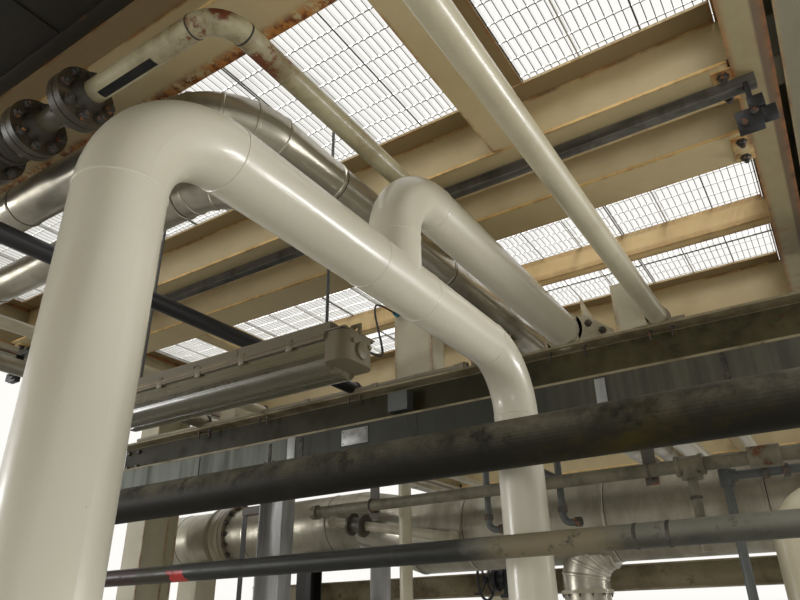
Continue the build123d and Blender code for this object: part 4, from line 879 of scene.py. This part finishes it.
for x in (-0.33, -0.12, 0.10, 0.33, 0.56):
    for side in (-1, 1):
        y = lamp_y + side * 0.0965
        sides = sorted((y, y - side * 0.004))
        slab(form, (x - 0.014, sides[0], 2.428), (x + 0.014, sides[1], 2.470), 0.0012)
        ends = sorted((y - side * 0.004, y - side * 0.022))
        slab(form, (x - 0.014, ends[0], 2.4645), (x + 0.014, ends[1], 2.4685), 0.0012)
for x, side in ((0.760, 1), (-0.475, -1)):
    slab(form, (x - 0.040, lamp_y - 0.090, 2.4675), (x + 0.040, lamp_y + 0.090, 2.4720), 0.002)
    for y in (lamp_y - 0.066, lamp_y + 0.066):
        screw(form, 0.011, 0.005, 0.009, 0.007, (x + side * 0.022, y, 2.472), (0, 0, 1))
    screw(form, 0.030, 0.010, 0.022, 0.014, (x + side * 0.0435, lamp_y, 2.402), (side, 0, 0), 24)
    for y in (lamp_y - 0.045, lamp_y + 0.045):
        screw(form, 0.009, 0.006, 0.007, 0.008, (x + side * 0.0435, y, 2.428), (side, 0, 0))
slab(form, (lamp_west, lamp_y - 0.0975, 2.4500), (lamp_east, lamp_y - 0.0950, 2.4560), 0.001)
slab(form, (lamp_west, lamp_y + 0.0950, 2.4500), (lamp_east, lamp_y + 0.0975, 2.4560), 0.001)
turned(form, [(0.006, 0.0), (0.016, 0.0), (0.016, 0.012), (0.013, 0.015), (0.006, 0.015)],
       (0.690, lamp_y + 0.062, 2.490), (0, 1, 0), 6)
finished("luminaire_fittings", form, lamp_beige)
finish = Finish("gland_plastic", roughness=0.4)
gland_worn = finish.noise(40.0).between(0.4, 0.7)
gland_blue = finish.mix(gland_worn, (0.02, 0.16, 0.30), (0.05, 0.24, 0.36))
north_one = finish.axes()[1].between(2.2, 2.4)
finish.send("Base Color", finish.mix(north_one, (0.05, 0.048, 0.045), gland_blue))
dress(finish.material, "cable_glands")

# The galvanised channel is in several lengths. Splice plates with small screws join them,
# a bright strap and a dark one cross it, and a bare plate in a thin frame is riveted to it.
channel_face, channel_low, channel_high = 2.900, 2.470, 2.620
bright_zinc = galvanised_paint("bright_zinc", (0.42, 0.43, 0.41), (0.24, 0.25, 0.24))
form = bmesh.new()
slab(form, (-0.730, channel_face - 0.004, channel_low - 0.002), (-0.668, channel_face, channel_high), 0.001)
slab(form, (-0.312, channel_face - 0.003, 2.508), (-0.126, channel_face, 2.600), 0.001)
for x in (-2.40, 1.20, 2.30):
    slab(form, (x, channel_face - 0.004, channel_low + 0.015),
         (x + 0.05, channel_face, channel_high - 0.012), 0.001)
finished("channel_plates", form, bright_zinc)
form = bmesh.new()
for x0, x1 in ((-1.512, -1.505), (-0.885, -0.860), (-0.640, -0.605), (1.760, 1.784),
               (0.20, 0.203), (0.86, 0.863)):
    slab(form, (x0, channel_face - 0.0025, channel_low), (x1, channel_face, channel_high - 0.012), 0.0008)
for x in (-0.91, -0.84, -0.60, -0.56, -0.52, 0.17, 0.23):
    screw(form, 0.007, 0.004, 0.005, 0.006, (x, channel_face, channel_low + 0.022), (0, -1, 0))
for x, z in ((-0.300, 2.588), (-0.138, 2.588), (-0.300, 2.520), (-0.138, 2.520)):
    turned(form, [(0.004, 0.0), (0.003, 0.003), (0, 0.003)], (x, channel_face - 0.003, z), (0, -1, 0), 10)
finished("channel_joints", form, gasket_black.material)
finish = Finish("bare_plate", roughness=0.45, metallic=0.3)
dull = finish.noise(18.0, 4.0).between(0.4, 0.7)
finish.send("Base Color", finish.mix(dull, (0.36, 0.36, 0.34), (0.20, 0.20, 0.18)))
form = bmesh.new()
slab(form, (-0.306, channel_face - 0.0042, 2.514), (-0.132, channel_face - 0.0028, 2.594), 0.0005)
finished("bare_plate", form, finish.material)

# The legs under the large pipe differ. The post beside the header and the round leg are
# bright galvanised steel, and the H leg and the thin prop are nearly black.
finish = Finish("leg_steel", roughness=0.5, metallic=0.4)
leg_x, leg_y, _ = finish.axes()
post_part = (leg_x + 1.063).away().between(0.13, 0.125) * leg_y.between(3.5, 3.45)
round_part = (leg_x + 0.614).away().between(0.13, 0.125)
leg_runs = finish.noise(5.0, 4.0, 0.6, finish.stretch(1.0, 1.0, 0.15)).between(0.4, 0.7)
bright_leg = finish.mix(leg_runs, (0.50, 0.50, 0.49), (0.25, 0.25, 0.24))
light_edge = finish.edges(0.012) * 0.5 * leg_x.between(-0.70, -0.60)
dark_leg = finish.mix(light_edge, (0.026, 0.024, 0.021), (0.30, 0.29, 0.25))
finish.complete(finish.mix(post_part.largest(round_part), dark_leg, bright_leg),
                0.42 + leg_runs * 0.2, leg_runs, 0.001)
dress(finish.material, "floor_stands")

# Deck beams are bolted down through their flanges at the edge beams. Two dark bolts hang
# from each flange on a pale washer plate.
form, bolt_form = bmesh.new(), bmesh.new()
washer_in, washer_out = 2.040, 2.110
for bay in south_portals:
    for back in (5.02, 4.02, 3.10, 2.203, 1.105, 0.705):
        y = bay + bay_length - back
        for side in (-1, 1):
            washer = sorted((side * washer_in, side * washer_out))
            slab(form, (washer[0], y - 0.075, 3.2000), (washer[1], y + 0.095, 3.2058), 0.001)
            for shift in (-0.045, 0.065):
                spot = (side * (washer_in + washer_out) / 2, y + shift, 3.2000)
                bolt_head(bolt_form, 0.021, 0.017, 0.0145, spot, (0, 0, -1))
                turned(bolt_form, [(0.009, 0.0), (0.009, 0.027), (0.0, 0.028)], spot, (0, 0, -1), 10)
finished("deck_washers", form, deck_ochre)
for y in portals:
    for side in (-1, 1):
        for x in (side * 2.295, side * 2.405):
            for z in (2.665, 2.775):
                bolt_head(bolt_form, 0.020, 0.016, 0.0135, (x, y - 0.004, z), (0, -1, 0))
finished("frame_bolts", bolt_form, nut_steel)

# The strut's ends hang from black clamps on the edge beams: a block over the strut, a
# plate that hangs below it and a strap that runs on under the edge beam's flange.
strut_ahead = 4.9
form = bmesh.new()
for bay in south_portals:
    y = bay + strut_ahead
    for side in (-1, 1):
        for low, high in (((2.136, y - 0.030, 3.2070), (2.158, y + 0.010, 3.262)),
                          ((2.124, y - 0.040, 3.080), (2.140, y + 0.010, 3.158)),
                          ((2.120, y - 0.044, 3.040), (2.168, y - 0.004, 3.090)),
                          ((2.074, y - 0.044, 2.972), (2.150, y - 0.008, 3.046)),
                          ((2.148, y - 0.040, 2.990), (2.194, y - 0.012, 3.038))):
            ends = sorted((side * low[0], side * high[0]))
            slab(form, (ends[0], low[1], low[2]), (ends[1], high[1], high[2]), 0.002)
finished("strut_clamps", form, pipe_black)
form = bmesh.new()
for bay in south_portals:
    y = bay + strut_ahead
    for side in (-1, 1):
        for x, z in ((2.096, 2.994), (2.132, 3.024)):
            turned(form, [(0.0, 0.0), (0.013, 0.0), (0.013, 0.010), (0.010, 0.013), (0.0, 0.013)],
                   (side * x, y - 0.044, z), (0, -1, 0), 6)
finished("strut_clamp_bolts", form, nut_steel)

# The header's hangers clip it with a small U-bolt and its couplings are screwed collars.
# The tubes beside it end in six-sided unions.
clip_y, clip_z, clip_loop, clip_back = 3.030, 2.180, 0.0335, 3.066
form = bmesh.new()
for x in (-0.190, 1.350):
    line = [(x, clip_back, clip_z + clip_loop), (x, clip_y, clip_z + clip_loop)]
    line += [(x, clip_y - clip_loop * math.sin(math.pi * i / 14),
              clip_z + clip_loop * math.cos(math.pi * i / 14)) for i in range(1, 14)]
    line += [(x, clip_y, clip_z - clip_loop), (x, clip_back, clip_z - clip_loop)]
    swept(form, line, 0.005)
tube_y = 3.088
for x in (0.506, 0.902):
    for low in (2.046, 2.560):
        collar(form, 0.017, 0.025, 0.030, (x, tube_y, low), (0, 0, 1), 6, 0.0, 0.002)
    collar(form, 0.017, 0.025, 0.030, (x + 0.058, tube_y, 1.996), (1, 0, 0), 6, 0.0, 0.002)
for x in (1.790, 1.870, 2.05):
    collar(form, 0.020, 0.031, 0.028, (x, 3.200, 2.146), (1, 0, 0), 8, 0.0, 0.002)
finished("header_clips", form, nut_steel)
form = bmesh.new()
for z in (2.034, 1.852):
    collar(form, 0.0205, 0.0255, 0.014, (1.527, clip_y, z), (0, 0, 1), 40, 0.002, 0.002)
low_y, low_z, low_band = 1.968, 1.7868, 0.0363
for x in (1.510, 1.605):
    collar(form, low_band, 0.0380, 0.012, (x, low_y, low_z), (1, 0, 0), 40, 0.002, 0.002)
for x in (0.665, -1.25, 2.28):
    collar(form, low_band, 0.0372, 0.006, (x, low_y, low_z), (1, 0, 0), 40, 0.001, 0.001)
finished("dark_bands", form, gasket_black.material)

# Anchor nuts hold the base plates down on their studs, and the riser feet and floor
# legs are bolted with smaller ones. All are six-sided and of dark steel.
form = bmesh.new()
plate_top, anchor_shift = 0.025, 0.14
anchor_profile = [(0.0, 0.0), (0.030, 0.0), (0.030, 0.004), (0.024, 0.004), (0.024, 0.022),
                  (0.020, 0.026), (0.0, 0.026)]
for x in (-2.35, 2.35):
    for y in (-8.75, -2.75, 3.25, 9.25):
        for dx in (-anchor_shift, anchor_shift):
            for dy in (-anchor_shift, anchor_shift):
                turned(form, anchor_profile, (x + dx, y + dy, plate_top), (0, 0, 1), 6)
                screw(form, 0.012, 0.052, 0.010, 0.055, (x + dx, y + dy, plate_top), (0, 0, 1), 12)
small_anchor = [(0.0, 0.0), (0.016, 0.0), (0.016, 0.012), (0.013, 0.015), (0.0, 0.015)]
for x, y, half, top in ((1.073, 0.417, 0.092, 0.012), (1.073, 2.204, 0.092, 0.012),
                        (-1.217, 3.74, 0.092, 0.016), (-0.614, 3.74, 0.092, 0.016),
                        (-1.063, 3.20, 0.092, 0.016)):
    for dx in (-half, half):
        for dy in (-half, half):
            turned(form, small_anchor, (x + dx, y + dy, top), (0, 0, 1), 6)
finished("anchor_nuts", form, nut_steel)

# A strip in the plates' near-black painted shade closes the gap between the deck plates and the
# grating's first beam, and flat bars stiffen the plates from below.
form = bmesh.new()
for low, high in (((-2.10, 0.640, 3.4880), (2.10, 0.696, 3.4995)),
                  ((-2.10, -0.420, 3.4935), (2.10, -0.412, 3.4998)),
                  ((0.100, -1.400, 3.4935), (0.108, 0.640, 3.4998)),
                  ((-1.200, -1.400, 3.4935), (-1.192, 0.640, 3.4998)),
                  ((1.300, -1.400, 3.4935), (1.308, 0.640, 3.4998))):
    slab(form, low, high, 0.001)
finished("plate_stiffeners", form, plate_painted_shade)

# The luminaire's cable leaves the gland on the tray and goes up to the box post beside the
# middle portal. It is one smooth rubber cord, round and black.
cable_route = ((0.690, 1.652, 2.490), (0.688, 1.840, 2.492), (0.590, 2.000, 2.600),
               (0.3825, 2.270, 2.836), (0.180, 2.520, 3.105), (0.078, 2.700, 3.252), (0.075, 2.885, 3.255))
cable_thick, cable_length = 0.011, 1.65
cable_curve = bpy.data.curves.new("cable", "CURVE")
cable_curve.dimensions = "3D"
cable_curve.bevel_depth = cable_thick / 2
cable_curve.bevel_resolution = 4
spline = cable_curve.splines.new("NURBS")
spline.points.add(len(cable_route) - 1)
for point, place in zip(spline.points, cable_route):
    point.co = (*place, 1)
spline.order_u = 3
spline.use_endpoint_u = True
spline.resolution_u = 12
cable = bpy.data.objects.new("lamp_cable", cable_curve)
bpy.context.scene.collection.objects.link(cable)
cable_curve.materials.append(gasket_black.material)
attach(cable, "bridge")
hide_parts("luminaire_cable")
